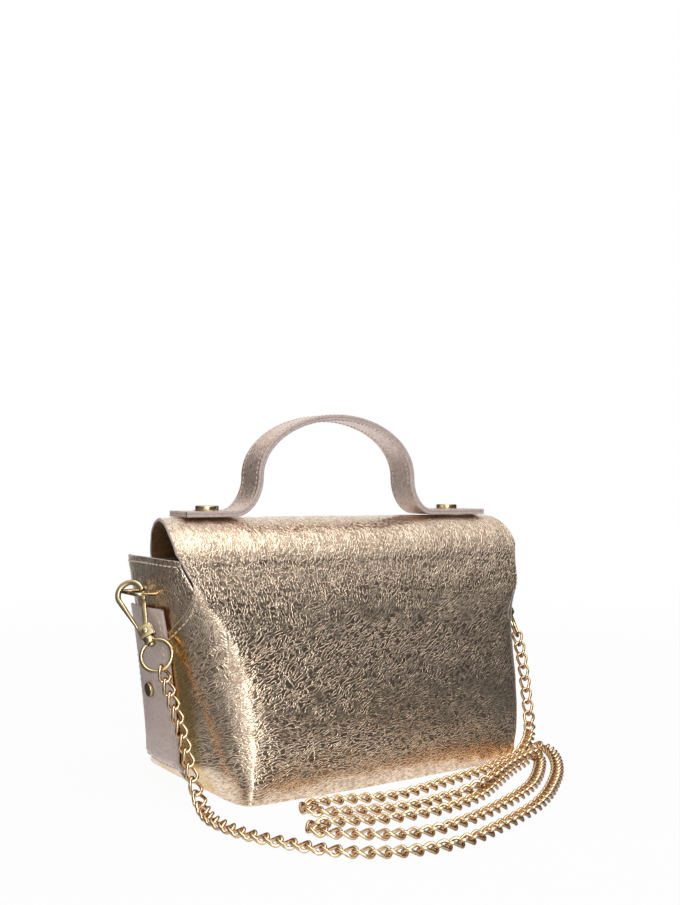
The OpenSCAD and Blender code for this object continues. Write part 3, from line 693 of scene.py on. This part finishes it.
def seam_round(g, low, c0, c1):
    """A grid's values down column c0, across row low and up column c1."""
    top = g.shape[0] - 2
    line = [g[i, c0] for i in range(top, low, -1)] + [g[low, j] for j in range(c0, c1)]
    return line + [g[i, c1] for i in range(low, top)]


for side, end in (("left", -1), ("right", 1)):
    g, st = end_grids(end)
    seam = inset_top_line(g, grid_normals(g), np.zeros(g.shape[:2]), 3.0, range(2, g.shape[1] - 2))
    parts = stitch_parts(*seam)
    pieces["gusset_thread_" + side] = new_object("gusset_stitching_" + side, *merge(parts), [THREAD])
    low = next(i for i in range(st.shape[0]) if st[i, 0, 2] > STRIP_LOW + 2.6)
    seam = (low, int(st.shape[1] * 0.07), int(st.shape[1] * 0.93))
    parts = stitch_parts(seam_round(st, *seam), seam_round(grid_normals(st), *seam))
    pieces["strip_thread_" + side] = new_object("strip_stitching_" + side, *merge(parts), [THREAD])


# ---------- handle ----------
HANDLE_L, STRAP_W, STRAP_T, SPAN = 215, 20, 1.6, 101
ARCH_RISE, HANDLE_RISE, BEND_REACH, LEAN = 33, 59, 18, -2.5
SEAM_IN = 2.4    # from a strap's edge to its stitching
TAB_Z = TOP_H + GAP
ARCH_LOW = TOP_H + HANDLE_RISE - ARCH_RISE - 2 * STRAP_T


def right_half(lean, wider=0.0):
    """The handle's line from its top to its right end: arch, outward bend and tab."""
    limb, bend_h = SPAN / 2 + wider, ARCH_LOW - TAB_Z
    p = [(lean + limb * math.cos(a), ARCH_LOW + ARCH_RISE * math.sin(a))
         for a in np.linspace(math.pi / 2, 0, 40)[1:]]
    p += [(lean + limb + BEND_REACH + BEND_REACH * math.cos(a), ARCH_LOW + bend_h * math.sin(a))
          for a in np.linspace(math.pi, 1.5 * math.pi, 30)[1:]]
    p += [(x, TAB_Z) for x in np.linspace(lean + limb + BEND_REACH, HANDLE_L / 2, 14)[1:]]
    return p


left = [(-x, z) for x, z in right_half(-LEAN, 2.0) if x < HANDLE_L / 2 - 3][::-1]
handle_line = np.array(left + [(LEAN, ARCH_LOW + ARCH_RISE)] + right_half(LEAN))
tangent = np.gradient(handle_line, axis=0)
tangent /= np.linalg.norm(tangent, axis=1, keepdims=True)
side_dir = np.stack([-tangent[:, 1], tangent[:, 0]], 1)


def strap_grid(offset):
    """Strap face at a distance outside the handle's line: rows along the strap, columns across it."""
    line = handle_line + side_dir * offset
    ys = np.linspace(STRAP_W / 2, -STRAP_W / 2, n_of(34))
    g = np.zeros((len(ys), len(line), 3))
    g[..., 0], g[..., 2] = line[None, :, 0], line[None, :, 1]
    g[..., 1] = ys[:, None]
    return g


strap_s = np.concatenate([[0], np.cumsum(np.linalg.norm(np.diff(handle_line, axis=0), axis=1))])
handle_pieces = []
for name, outer_at, mats in (("handle_outer", 2 * STRAP_T, (FOIL_STRAP, SUEDE, RAW)),
                             ("handle_inner", STRAP_T, (SUEDE, FOIL_LINING, RAW))):
    g = strap_grid(outer_at)[::-1]
    n = np.zeros_like(g)
    n[..., 0], n[..., 2] = side_dir[None, :, 0], side_dir[None, :, 1]
    uv = np.stack(np.broadcast_arrays(strap_s[None, :], g[..., 1]), -1) * MM
    wave = crease_field(g, 14.0, 0.1, 0.12) if name == "handle_outer" else None
    handle_pieces.append(sheet_object(name, g, STRAP_T, mats, uv, n, ALL_EDGES, wave))
parts = []
for offset, sign in ((2 * STRAP_T, 1), (0.0, -1)):
    line = handle_line + side_dir * offset
    n = np.zeros((len(line), 3))
    n[:, 0], n[:, 2] = sign * side_dir[:, 0], sign * side_dir[:, 1]
    for y in (-STRAP_W / 2 + SEAM_IN, STRAP_W / 2 - SEAM_IN):
        pts = np.column_stack([line[:, 0], np.full(len(line), y), line[:, 1]])
        keep = slice(4, -4) if sign > 0 else slice(38, -38)
        parts += stitch_parts(pts[keep], n[keep], 2.8, 2.2, 0.22)
handle_pieces.append(new_object("handle_stitching", *merge(parts), [THREAD]))


# ---------- metal pieces ----------
def lathe(profile, sides=48):
    """Closed solid of revolution about Z from (r, z) points."""
    verts, faces = [], []
    n = len(profile)
    for k in range(sides):
        a = 2 * math.pi * k / sides
        verts += [(r * math.cos(a), r * math.sin(a), z) for r, z in profile]
    for k in range(sides):
        m = (k + 1) % sides
        for i in range(n - 1):
            faces.append([k * n + i, m * n + i, m * n + i + 1, k * n + i + 1])
    return verts, faces


def moved(part, matrix):
    verts, faces = part
    v = np.asarray(verts, float)
    v = v @ np.array(matrix.to_3x3()).T + np.array(matrix.translation)
    if matrix.to_3x3().determinant() < 0:
        faces = [f[::-1] for f in faces]
    return list(v), faces


def rounded(r, z0, z1, e, inner=0.0):
    """Profile of a disc with rounded rims."""
    arc = [(math.radians(a)) for a in (-90, -60, -30, 0)]
    low = [(r - e + e * math.cos(a), z0 + e + e * math.sin(a)) for a in arc]
    high = [(r - e + e * math.cos(a), z1 - e + e * math.sin(a)) for a in [-x for x in arc[::-1]]]
    return [(inner, z0)] + low + high + [(inner, z1)]


STUD_X, STUD_R, STUD_T = 85.0, 6.5, 2.9
STUD_HIGH = TAB_Z + 2 * STRAP_T
parts = []
for s in (-1, 1):    # head, shank and backing plate
    at = Matrix.Translation((s * STUD_X, 0, 0))
    parts.append(moved(lathe(rounded(STUD_R, STUD_HIGH - 0.1, STUD_HIGH + STUD_T, 0.7)), at))
    parts.append(moved(lathe(rounded(1.5, 138.6, STUD_HIGH, 0.2), 24), at))
    parts.append(moved(lathe(rounded(4.55, 137.6, 138.8, 0.3), 36), at))
handle_pieces.append(new_object("handle_stud_pieces", *merge(parts), [GOLD]))

SIDE_STUD_Z = 52
lean = math.degrees(math.atan((ridge_x(SIDE_STUD_Z + 4.0) - ridge_x(SIDE_STUD_Z - 4.0)) / 8.0))
on_left = (Matrix.Translation((-float(ridge_x(SIDE_STUD_Z)), 0, SIDE_STUD_Z))
           @ Matrix.Rotation(math.radians(-90 - lean), 4, "Y"))
flip_x = Matrix.Scale(-1, 4, (1, 0, 0))
face = GAP + LEATHER
profile_head = rounded(4.0, face + 0.2, face + GAP + 1.8, 0.6)
profile_shank = rounded(1.1, -LEATHER - 2 * GAP - 1, face + GAP, 0.1)
parts = []
for m in (on_left, flip_x @ on_left):
    parts += [moved(lathe(profile_head), m), moved(lathe(profile_shank, 20), m)]
side_studs = new_object("side_stud_pieces", *merge(parts), [GOLD])


# ---------- snap hooks ----------
BAR_X, HANG_Y, LOOP_Z = 130.2063, 2.0, 103.0
BOW_R, BOW_W, HOOK_T, LIMB_L, BLOCK_H, BLOCK_W, BLOCK_T = 8.0, 2.6, 3.0, 19.0, 6.5, 7.6, 4.6
PIVOT_Z = -LIMB_L - BLOCK_H / 2
BOW_MID = BOW_R - BOW_W / 2
BOSS_TOP = -LIMB_L - BLOCK_H - GAP
BOSS_LOW = BOSS_TOP - 3.6
EYE_R, EYE_WIRE = 8.15, 2.2
EYE_Z = BOSS_LOW + EYE_WIRE / 2 - EYE_R


def turn(degrees, axis):
    return Matrix.Rotation(math.radians(degrees), 4, axis)


contact, touch = (BOW_R - BOW_W - 1) * 0.5, math.radians(119)
hung = (Matrix.Translation((-BAR_X, HANG_Y, LOOP_Z)) @ turn(-11, "Y") @ turn(-35, "X") @ turn(-35, "Z")
        @ Matrix.Translation((-contact * math.cos(touch), 0, -contact * math.sin(touch))))


def bar(path, widths, thicks, corner=0.35, up=(0.0, 1.0, 0.0)):
    """Flat bar with rounded edges along a path: one width and thickness for each point."""
    path = np.asarray(path, float)
    tan = np.gradient(path, axis=0)
    tan /= np.linalg.norm(tan, axis=1, keepdims=True)
    verts, faces = [], []
    for p, t, w, h in zip(path, tan, widths, thicks):
        y = np.array(up)
        x = np.cross(y, t)
        x /= np.linalg.norm(x)
        c = min(corner, w * 0.45, h * 0.45)
        ring = []
        for sx, sy, start in ((1, 1, 0), (-1, 1, 90), (-1, -1, 180), (1, -1, 270)):
            for a in (0, 30, 60, 90):
                at = math.radians(start + a)
                ring.append(p + x * (sx * (w / 2 - c) + c * math.cos(at))
                            + y * (sy * (h / 2 - c) + c * math.sin(at)))
        s = len(ring)
        verts += ring
    n = len(path)
    for i in range(n - 1):
        for k in range(s):
            l = (k + 1) % s
            faces.append([i * s + k, i * s + l, (i + 1) * s + l, (i + 1) * s + k])
    faces += [list(range(s))[::-1], [(n - 1) * s + k for k in range(s)]]
    return verts, faces


def box(x0, x1, y0, y1, z0, z1, c=0.3):
    """Block with rounded edges."""
    zs = [z0, z0 + c * 0.3, z0 + c, z1 - c, z1 - c * 0.3, z1]
    shrink = [c, c * 0.3, 0, 0, c * 0.3, c]
    path = [((x0 + x1) / 2, (y0 + y1) / 2, z) for z in zs]
    return bar(path, [x1 - x0 - 2 * s for s in shrink], [y1 - y0 - 2 * s for s in shrink], c)


def hook_parts():
    """The bow with its limb in one bar, and the block's cheeks, back and foot."""
    arc = [(-BOW_MID * math.cos(a), 0, BOW_MID * math.sin(a)) for a in np.linspace(0, math.pi, 30)]
    limb = [(mix(-3.2, -BOW_MID, t), 0, mix(-LIMB_L - 0.6, 0, t)) for t in np.linspace(0, 1, 12)[:-1]]
    nose = [(BOW_MID, 0, -0.5), (BOW_MID, 0, -0.9), (BOW_MID, 0, -1.0)]
    path = limb + arc + nose
    widths = [mix(1.3, BOW_W, min(1, t * 1.2)) for t in np.linspace(0, 1, 12)[:-1]] + [BOW_W] * len(arc)
    widths += [BOW_W, BOW_W - 0.3, BOW_W - 0.9]
    thick = [HOOK_T] * (len(path) - 2) + [HOOK_T - 0.3, HOOK_T - 0.9]
    low, top = -LIMB_L - BLOCK_H, -LIMB_L
    return [bar(path, widths, thick, 0.8),
            box(-BLOCK_W / 2, BLOCK_W / 2, 1.1, BLOCK_T / 2, low, top),
            box(-BLOCK_W / 2, BLOCK_W / 2, -BLOCK_T / 2, -1.1, low, top),
            box(-BLOCK_W / 2, -BLOCK_W / 2 + 1.1, -1.3, 1.3, low, top, 0.2),
            box(-BLOCK_W / 2, BLOCK_W / 2, -1.3, 1.3, low, low + 0.8, 0.2)]


def gate_parts():
    """The gate's bar and its thumb knob."""
    top = -1.3
    path = [(BOW_MID * t, 0, mix(PIVOT_Z, top, t)) for t in np.linspace(-0.06, 1, 14)]
    widths = [3.2, 4.0, 3.6] + [2.5] * 9 + [2.4, 1.9]
    knob = lathe([(0, -0.4), (0.75, -0.4), (0.75, 2.1), (1.2, 2.1), (1.5, 2.4), (1.5, 2.8), (1.2, 3.0),
                  (0, 3.0)], 20)
    return [bar(path, widths, [1.6] * 13 + [1.3], 0.4),
            moved(knob, Matrix.Translation((BOW_MID, 0, top - 3.0)) @ turn(90, "Y"))]


def pin_parts():
    """The gate's pin with its two heads."""
    head = [(0, 0), (1.6, 0), (1.6, 0.15), (1.2, 0.42), (0.6, 0.52), (0, 0.55)]
    parts = []
    for s in (-1, 1):
        at = Matrix.Translation((0, s * (BLOCK_T / 2 + 0.1), PIVOT_Z))
        parts.append(moved(lathe(head, 24), at @ turn(-90 * s, "X")))
    half = BLOCK_T / 2 + 0.2
    shaft = lathe([(0, -half), (0.8, -half), (0.8, half), (0, half)], 16)
    parts.append(moved(shaft, Matrix.Translation((0, 0, PIVOT_Z)) @ turn(90, "X")))
    return parts


def stem_parts():
    """The swivel's stem with its peened head."""
    low, top = BOSS_LOW - GAP - 1.2, BOSS_TOP + GAP
    return [lathe([(0, low), (1.2, low), (1.8, low + 0.3), (2.0, low + 0.8), (2.0, low + 1.2),
                   (1.0, low + 1.2), (1.0, top), (0, top)], 24)]


def ring_parts():
    """The eye ring and the boss that turns on the stem."""
    turns = np.linspace(0, 2 * math.pi, 73)[:-1]
    ring = [(EYE_R * math.sin(a), 0, EYE_Z + EYE_R * math.cos(a)) for a in turns]
    boss = [(1.3, BOSS_LOW), (2.7, BOSS_LOW), (3.1, BOSS_LOW + 0.5), (3.1, BOSS_TOP - 0.5), (2.7, BOSS_TOP),
            (1.3, BOSS_TOP)]
    return [tube_points(ring, EYE_WIRE / 2, 12, True, (0, 1, 0)), lathe(boss + boss[:1], 36)]


for side, m in (("left", hung), ("right", flip_x @ hung)):
    for name, parts, cad in (("hook", hook_parts(), "hook_"), ("gate", gate_parts(), "gate_"),
                             ("pin", pin_parts(), "gate_pin_"), ("stem", stem_parts(), "swivel_stem_"),
                             ("ring", ring_parts(), "eye_ring_")):
        obj = new_object("snap_" + name + "_" + side, *merge([moved(p, m) for p in parts]), [GOLD])
        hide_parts(cad + side)
        pieces["snap_" + name + "_" + side] = obj


# ---------- chain ----------
CHAIN_ROUTE = [
    (-0.1226, -0.0247, 0.0673), (-0.121, -0.031, 0.056), (-0.119, -0.035, 0.045), (-0.117, -0.038, 0.035),
    (-0.116, -0.042, 0.024), (-0.115, -0.046, 0.014), (-0.115, -0.053, 0.006), (-0.117, -0.062, 0.003),
    (-0.12, -0.075, 0.0028), (-0.119, -0.09, 0.0028), (-0.116, -0.104, 0.0028), (-0.109, -0.119, 0.0028),
    (-0.101, -0.134, 0.0028), (-0.092, -0.146, 0.0028), (-0.081, -0.154, 0.0028), (-0.068, -0.16, 0.0028),
    (-0.052, -0.163, 0.0028), (-0.032, -0.162, 0.0028), (-0.004, -0.153, 0.0028), (0.022, -0.143, 0.0028),
    (0.04, -0.133, 0.0028), (0.058, -0.12, 0.0028), (0.078, -0.104, 0.0028), (0.096, -0.086, 0.0028),
    (0.11, -0.068, 0.0028), (0.117, -0.054, 0.0028), (0.115, -0.045, 0.0028), (0.107, -0.046, 0.0028),
    (0.102, -0.058, 0.0028), (0.093, -0.076, 0.0028), (0.074, -0.094, 0.0028), (0.056, -0.109, 0.0028),
    (0.038, -0.12, 0.0028), (0.007, -0.133, 0.0028), (-0.02, -0.141, 0.0028), (-0.044, -0.144, 0.0028),
    (-0.06, -0.139, 0.0028), (-0.072, -0.13, 0.0028), (-0.084, -0.121, 0.0028), (-0.089, -0.112, 0.0028),
    (-0.082, -0.105, 0.0028), (-0.069, -0.109, 0.0028), (-0.052, -0.117, 0.0028), (-0.035, -0.12, 0.0028),
    (-0.015, -0.121, 0.0028), (0.011, -0.115, 0.0028), (0.039, -0.098, 0.0028), (0.06, -0.085, 0.0028),
    (0.077, -0.077, 0.0028), (0.087, -0.071, 0.003), (0.093, -0.071, 0.005), (0.092, -0.076, 0.0075),
    (0.082, -0.079, 0.0084), (0.066, -0.085, 0.0084), (0.048, -0.094, 0.0084), (0.033, -0.103, 0.0082),
    (0.018, -0.106, 0.0055), (0.004, -0.104, 0.0028), (-0.02, -0.108, 0.0028), (-0.039, -0.105, 0.0028),
    (-0.055, -0.099, 0.0028), (-0.068, -0.094, 0.0028), (-0.075, -0.086, 0.0028), (-0.07, -0.078, 0.0028),
    (-0.058, -0.077, 0.0028), (-0.042, -0.083, 0.0028), (-0.025, -0.09, 0.0028), (0, -0.087, 0.0028),
    (0.022, -0.082, 0.0028), (0.049, -0.077, 0.0028), (0.067, -0.07, 0.0028), (0.082, -0.0652, 0.003),
    (0.092, -0.0625, 0.0055), (0.102, -0.0565, 0.0088), (0.112, -0.0475, 0.01), (0.118, -0.041, 0.016),
    (0.12, -0.037, 0.026), (0.121, -0.034, 0.038), (0.121, -0.031, 0.054), (0.1226, -0.0247, 0.0673),
]
HANG_UP = {-1: np.array([0.25, -0.8, 0.5]), 1: np.array([-1.0, -0.25, 0.15])}
LINK_WIRE, LINK_W, LINK_PITCH, TWIST = 1.75, 7.4, 7.2, 35.0


def cut_corners(p):
    out = []
    for a, b in zip(p[:-1], p[1:]):
        out += [a * 0.75 + b * 0.25, a * 0.25 + b * 0.75]
    return out


route = [np.array(p) / MM for p in CHAIN_ROUTE]
line = np.array([route[0]] + cut_corners(route) + [route[-1]])
marks = np.concatenate([[0], np.cumsum(np.linalg.norm(np.diff(line, axis=0), axis=1))])
CHAIN_L = marks[-1]
links = round(CHAIN_L / LINK_PITCH)
step = CHAIN_L / links


def chain_at(s):
    return np.array([np.interp(s, marks, line[:, k]) for k in range(3)])


def link_part(i):
    """One twisted link, turned about the chain's line so that links hang through each other."""
    a, b = chain_at(i * step), chain_at((i + 1) * step)
    mid, ax = (a + b) / 2, (b - a) / np.linalg.norm(b - a)
    rise = min(1.0, max(0.0, (mid[2] - 6) / 20))
    up = np.array([0, 0, 1.0]) * (1 - rise) + HANG_UP[-1 if mid[0] < 0 else 1] * rise
    across = np.cross(up, ax)
    across /= np.linalg.norm(across)
    out = np.cross(ax, across)
    r = (LINK_W - LINK_WIRE) / 2
    half = (LINK_PITCH + LINK_WIRE + 0.2 - 2 * r) / 2
    pts = []
    for side in (1, -1):
        for w in np.linspace(-math.pi / 2, math.pi / 2, 11):
            pts.append((side * (half + r * math.cos(w)), side * r * math.sin(w)))
        pts.append((side * half * 0.35, side * r))
        pts.append((-side * half * 0.35, side * r))
    path = []
    for along_, lat in pts:
        tw = math.radians(TWIST) * max(-1.0, min(1.0, along_ / (half + r * 0.5)))
        path.append(mid + ax * along_ + (across * math.cos(tw) + out * math.sin(tw)) * lat)
    return tube_points(path, LINK_WIRE / 2, 8 if fine == 1 else 6, True)


chain = new_object("chain_strap", *merge([link_part(i) for i in range(links)]), [ROSE])


# ---------- riding and declarations ----------
def carry(names, mat):
    """CAD nodes that stay as they are, with a finish of their own."""
    for n in names:
        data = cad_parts[n].data
        data.materials.clear()
        data.materials.append(mat)


carry(["base_panel"], FOIL)
carry(["base_board"], BOARD)
carry(["magnet_catch", "magnet_flap", "gate_spring_left", "gate_spring_right", "side_loop_left",
       "side_loop_right"], GOLD)

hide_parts("back_panel")
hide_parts("front_panel")
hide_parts("flap")
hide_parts("handle_strap")
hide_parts("handle_lining")
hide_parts("handle_studs")
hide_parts("side_studs")
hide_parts("chain_left", "chain_pile", "chain_right")
for side in ("left", "right"):
    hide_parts("gusset_" + side)
    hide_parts("side_strip_" + side)
for o in (back_wall, front_wall, stitches_back, side_studs, chain):
    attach(o, "bag")
for name, o in pieces.items():
    side = name.rsplit("_", 1)[1]
    if name.startswith("snap_gate"):
        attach(o, "snap_gate_" + side)
    elif name.startswith("snap_ring"):
        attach(o, "swivel_ring_" + side)
    elif name.startswith("snap_"):
        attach(o, "snap_hook_" + side)
    else:
        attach(o, "bag")
for o in handle_pieces:
    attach(o, "flap_and_handle")
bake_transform(flap_sheet)


# ---------- stage, light and camera ----------
def seen_rays(nt):
    """1 for the rays that show the background: from the camera, in metal and through glass."""
    path = node(nt, "ShaderNodeLightPath")
    seen = math_node(nt, "MAXIMUM", path.outputs["Is Camera Ray"], path.outputs["Is Transmission Ray"])
    return math_node(nt, "MAXIMUM", seen, path.outputs["Is Glossy Ray"]), path


def looking_from(azimuth, elevation):
    """Direction from the bag towards a lamp, the camera or an unlit side."""
    a, e = math.radians(azimuth), math.radians(elevation)
    return Vector((math.sin(a) * math.cos(e), -math.cos(a) * math.cos(e), math.sin(e)))


# the unlit sides of the studio, which only reflections show: azimuth, elevation, edge, core and depth
UNLIT = ((52, 5, -0.05, 0.78, 0.90), (-115, 8, 0.25, 0.70, 0.86))


def unlit(nt, at, flat=False):
    """Share of the light that is missing in reflections in a direction."""
    dim = 0.0
    for azimuth, elevation, edge, core, depth in UNLIT:
        facing = node(nt, "ShaderNodeVectorMath", operation="DOT_PRODUCT")
        nt.links.new(at, facing.inputs[0])
        facing.inputs[1].default_value = looking_from(azimuth, 0 if flat else elevation)
        dim = math_node(nt, "ADD", dim, smooth(nt, facing.outputs["Value"], edge, core, 0.0, depth))
    return dim


def floor_dim(nt, at, distance):
    """The same on the floor, from a little way off the bag."""
    way = node(nt, "ShaderNodeVectorMath", operation="NORMALIZE")
    nt.links.new(at, way.inputs[0])
    dim = math_node(nt, "MULTIPLY", unlit(nt, way.outputs[0], True), smooth(nt, distance, 0.10, 0.20))
    return math_node(nt, "MULTIPLY", dim, node(nt, "ShaderNodeLightPath").outputs["Is Glossy Ray"])


HALF_FLOOR = 3000
corners = [(x * HALF_FLOOR, y * HALF_FLOOR, 0) for x, y in ((-1, -1), (1, -1), (1, 1), (-1, 1))]
floor = new_object("floor", corners, [[0, 1, 2, 3]], [], smooth=False)
m, nt, bsdf = material("floor_white")
bsdf.inputs["Base Color"].default_value = (0.9, 0.9, 0.9, 1)
bsdf.inputs["Roughness"].default_value = 0.9
spot = node(nt, "ShaderNodeTexCoord")
far = node(nt, "ShaderNodeVectorMath", operation="LENGTH")
nt.links.new(spot.outputs["Object"], far.inputs[0])
share = smooth(nt, far.outputs["Value"], 0.2, 1.2, 0.95, 1.0)
glow = node(nt, "ShaderNodeEmission")
glow.inputs["Color"].default_value = (1, 1, 1, 1)
dim = floor_dim(nt, spot.outputs["Object"], far.outputs["Value"])
nt.links.new(math_node(nt, "SUBTRACT", 1.0, dim), glow.inputs["Strength"])
mixer = nt.nodes.new("ShaderNodeMixShader")
nt.links.new(math_node(nt, "MULTIPLY", seen_rays(nt)[0], share), mixer.inputs[0])
nt.links.new(bsdf.outputs[0], mixer.inputs[1])
nt.links.new(glow.outputs[0], mixer.inputs[2])
out = next(n for n in nt.nodes if n.type == "OUTPUT_MATERIAL")
nt.links.new(mixer.outputs[0], out.inputs[0])
floor.data.materials.append(m)

world = bpy.data.worlds.new("studio")
bpy.context.scene.world = world
world.use_nodes = True
wt = world.node_tree
wt.nodes.clear()
w_out = wt.nodes.new("ShaderNodeOutputWorld")
soft = node(wt, "ShaderNodeBackground", Strength=0.42)
white = node(wt, "ShaderNodeBackground", Strength=1.0)
seen, lp = seen_rays(wt)
where = node(wt, "ShaderNodeTexCoord")
dim = unlit(wt, where.outputs["Generated"])
up = node(wt, "ShaderNodeSeparateXYZ")
wt.links.new(where.outputs["Generated"], up.inputs[0])
dim = math_node(wt, "MULTIPLY", dim, smooth(wt, up.outputs["Z"], 0.93, 0.38))
dim = math_node(wt, "MULTIPLY", dim, lp.outputs["Is Glossy Ray"])
wt.links.new(math_node(wt, "SUBTRACT", 1.0, dim), white.inputs["Strength"])
for shade in (soft, white):
    shade.inputs["Color"].default_value = (1, 1, 1, 1)
mixer = wt.nodes.new("ShaderNodeMixShader")
wt.links.new(seen, mixer.inputs[0])
wt.links.new(soft.outputs[0], mixer.inputs[1])
wt.links.new(white.outputs[0], mixer.inputs[2])
wt.links.new(mixer.outputs[0], w_out.inputs[0])


def lamp(name, azimuth, elevation, distance, size, power, target=(0, 0, 0.07)):
    data = bpy.data.lights.new(name, "AREA")
    data.shape = "RECTANGLE"
    data.size, data.size_y = size
    data.energy = power
    back = looking_from(azimuth, elevation)
    obj = bpy.data.objects.new(name, data)
    obj.location = Vector(target) + back * distance
    obj.rotation_mode = "QUATERNION"
    obj.rotation_quaternion = back.to_track_quat("Z", "Y")
    bpy.context.scene.collection.objects.link(obj)


lamp("key", -22, 22, 1.4, (0.5, 1.0), 6)
lamp("top", 0, 80, 1.3, (1.2, 0.8), 5)

cam_data = bpy.data.cameras.new("camera")
cam = bpy.data.objects.new("camera", cam_data)
bpy.context.scene.collection.objects.link(cam)
bpy.context.scene.camera = cam
cam_data.sensor_width, cam_data.lens = 36.0, 43.43
CAMERA_AZIMUTH, CAMERA_ELEVATION, CAMERA_ROLL, CAMERA_DISTANCE = -34.38, -1.635, 0.42, 0.6477
back = looking_from(CAMERA_AZIMUTH, CAMERA_ELEVATION)
cam.location = Vector((0.0029, 0, 0.17935)) + back * CAMERA_DISTANCE
cam.rotation_mode = "QUATERNION"
cam.rotation_quaternion = back.to_track_quat("Z", "Y") @ Quaternion((0, 0, 1), math.radians(CAMERA_ROLL))
cam_data.clip_start, cam_data.clip_end = 0.01, 20

bpy.context.scene.view_settings.view_transform = "Standard"
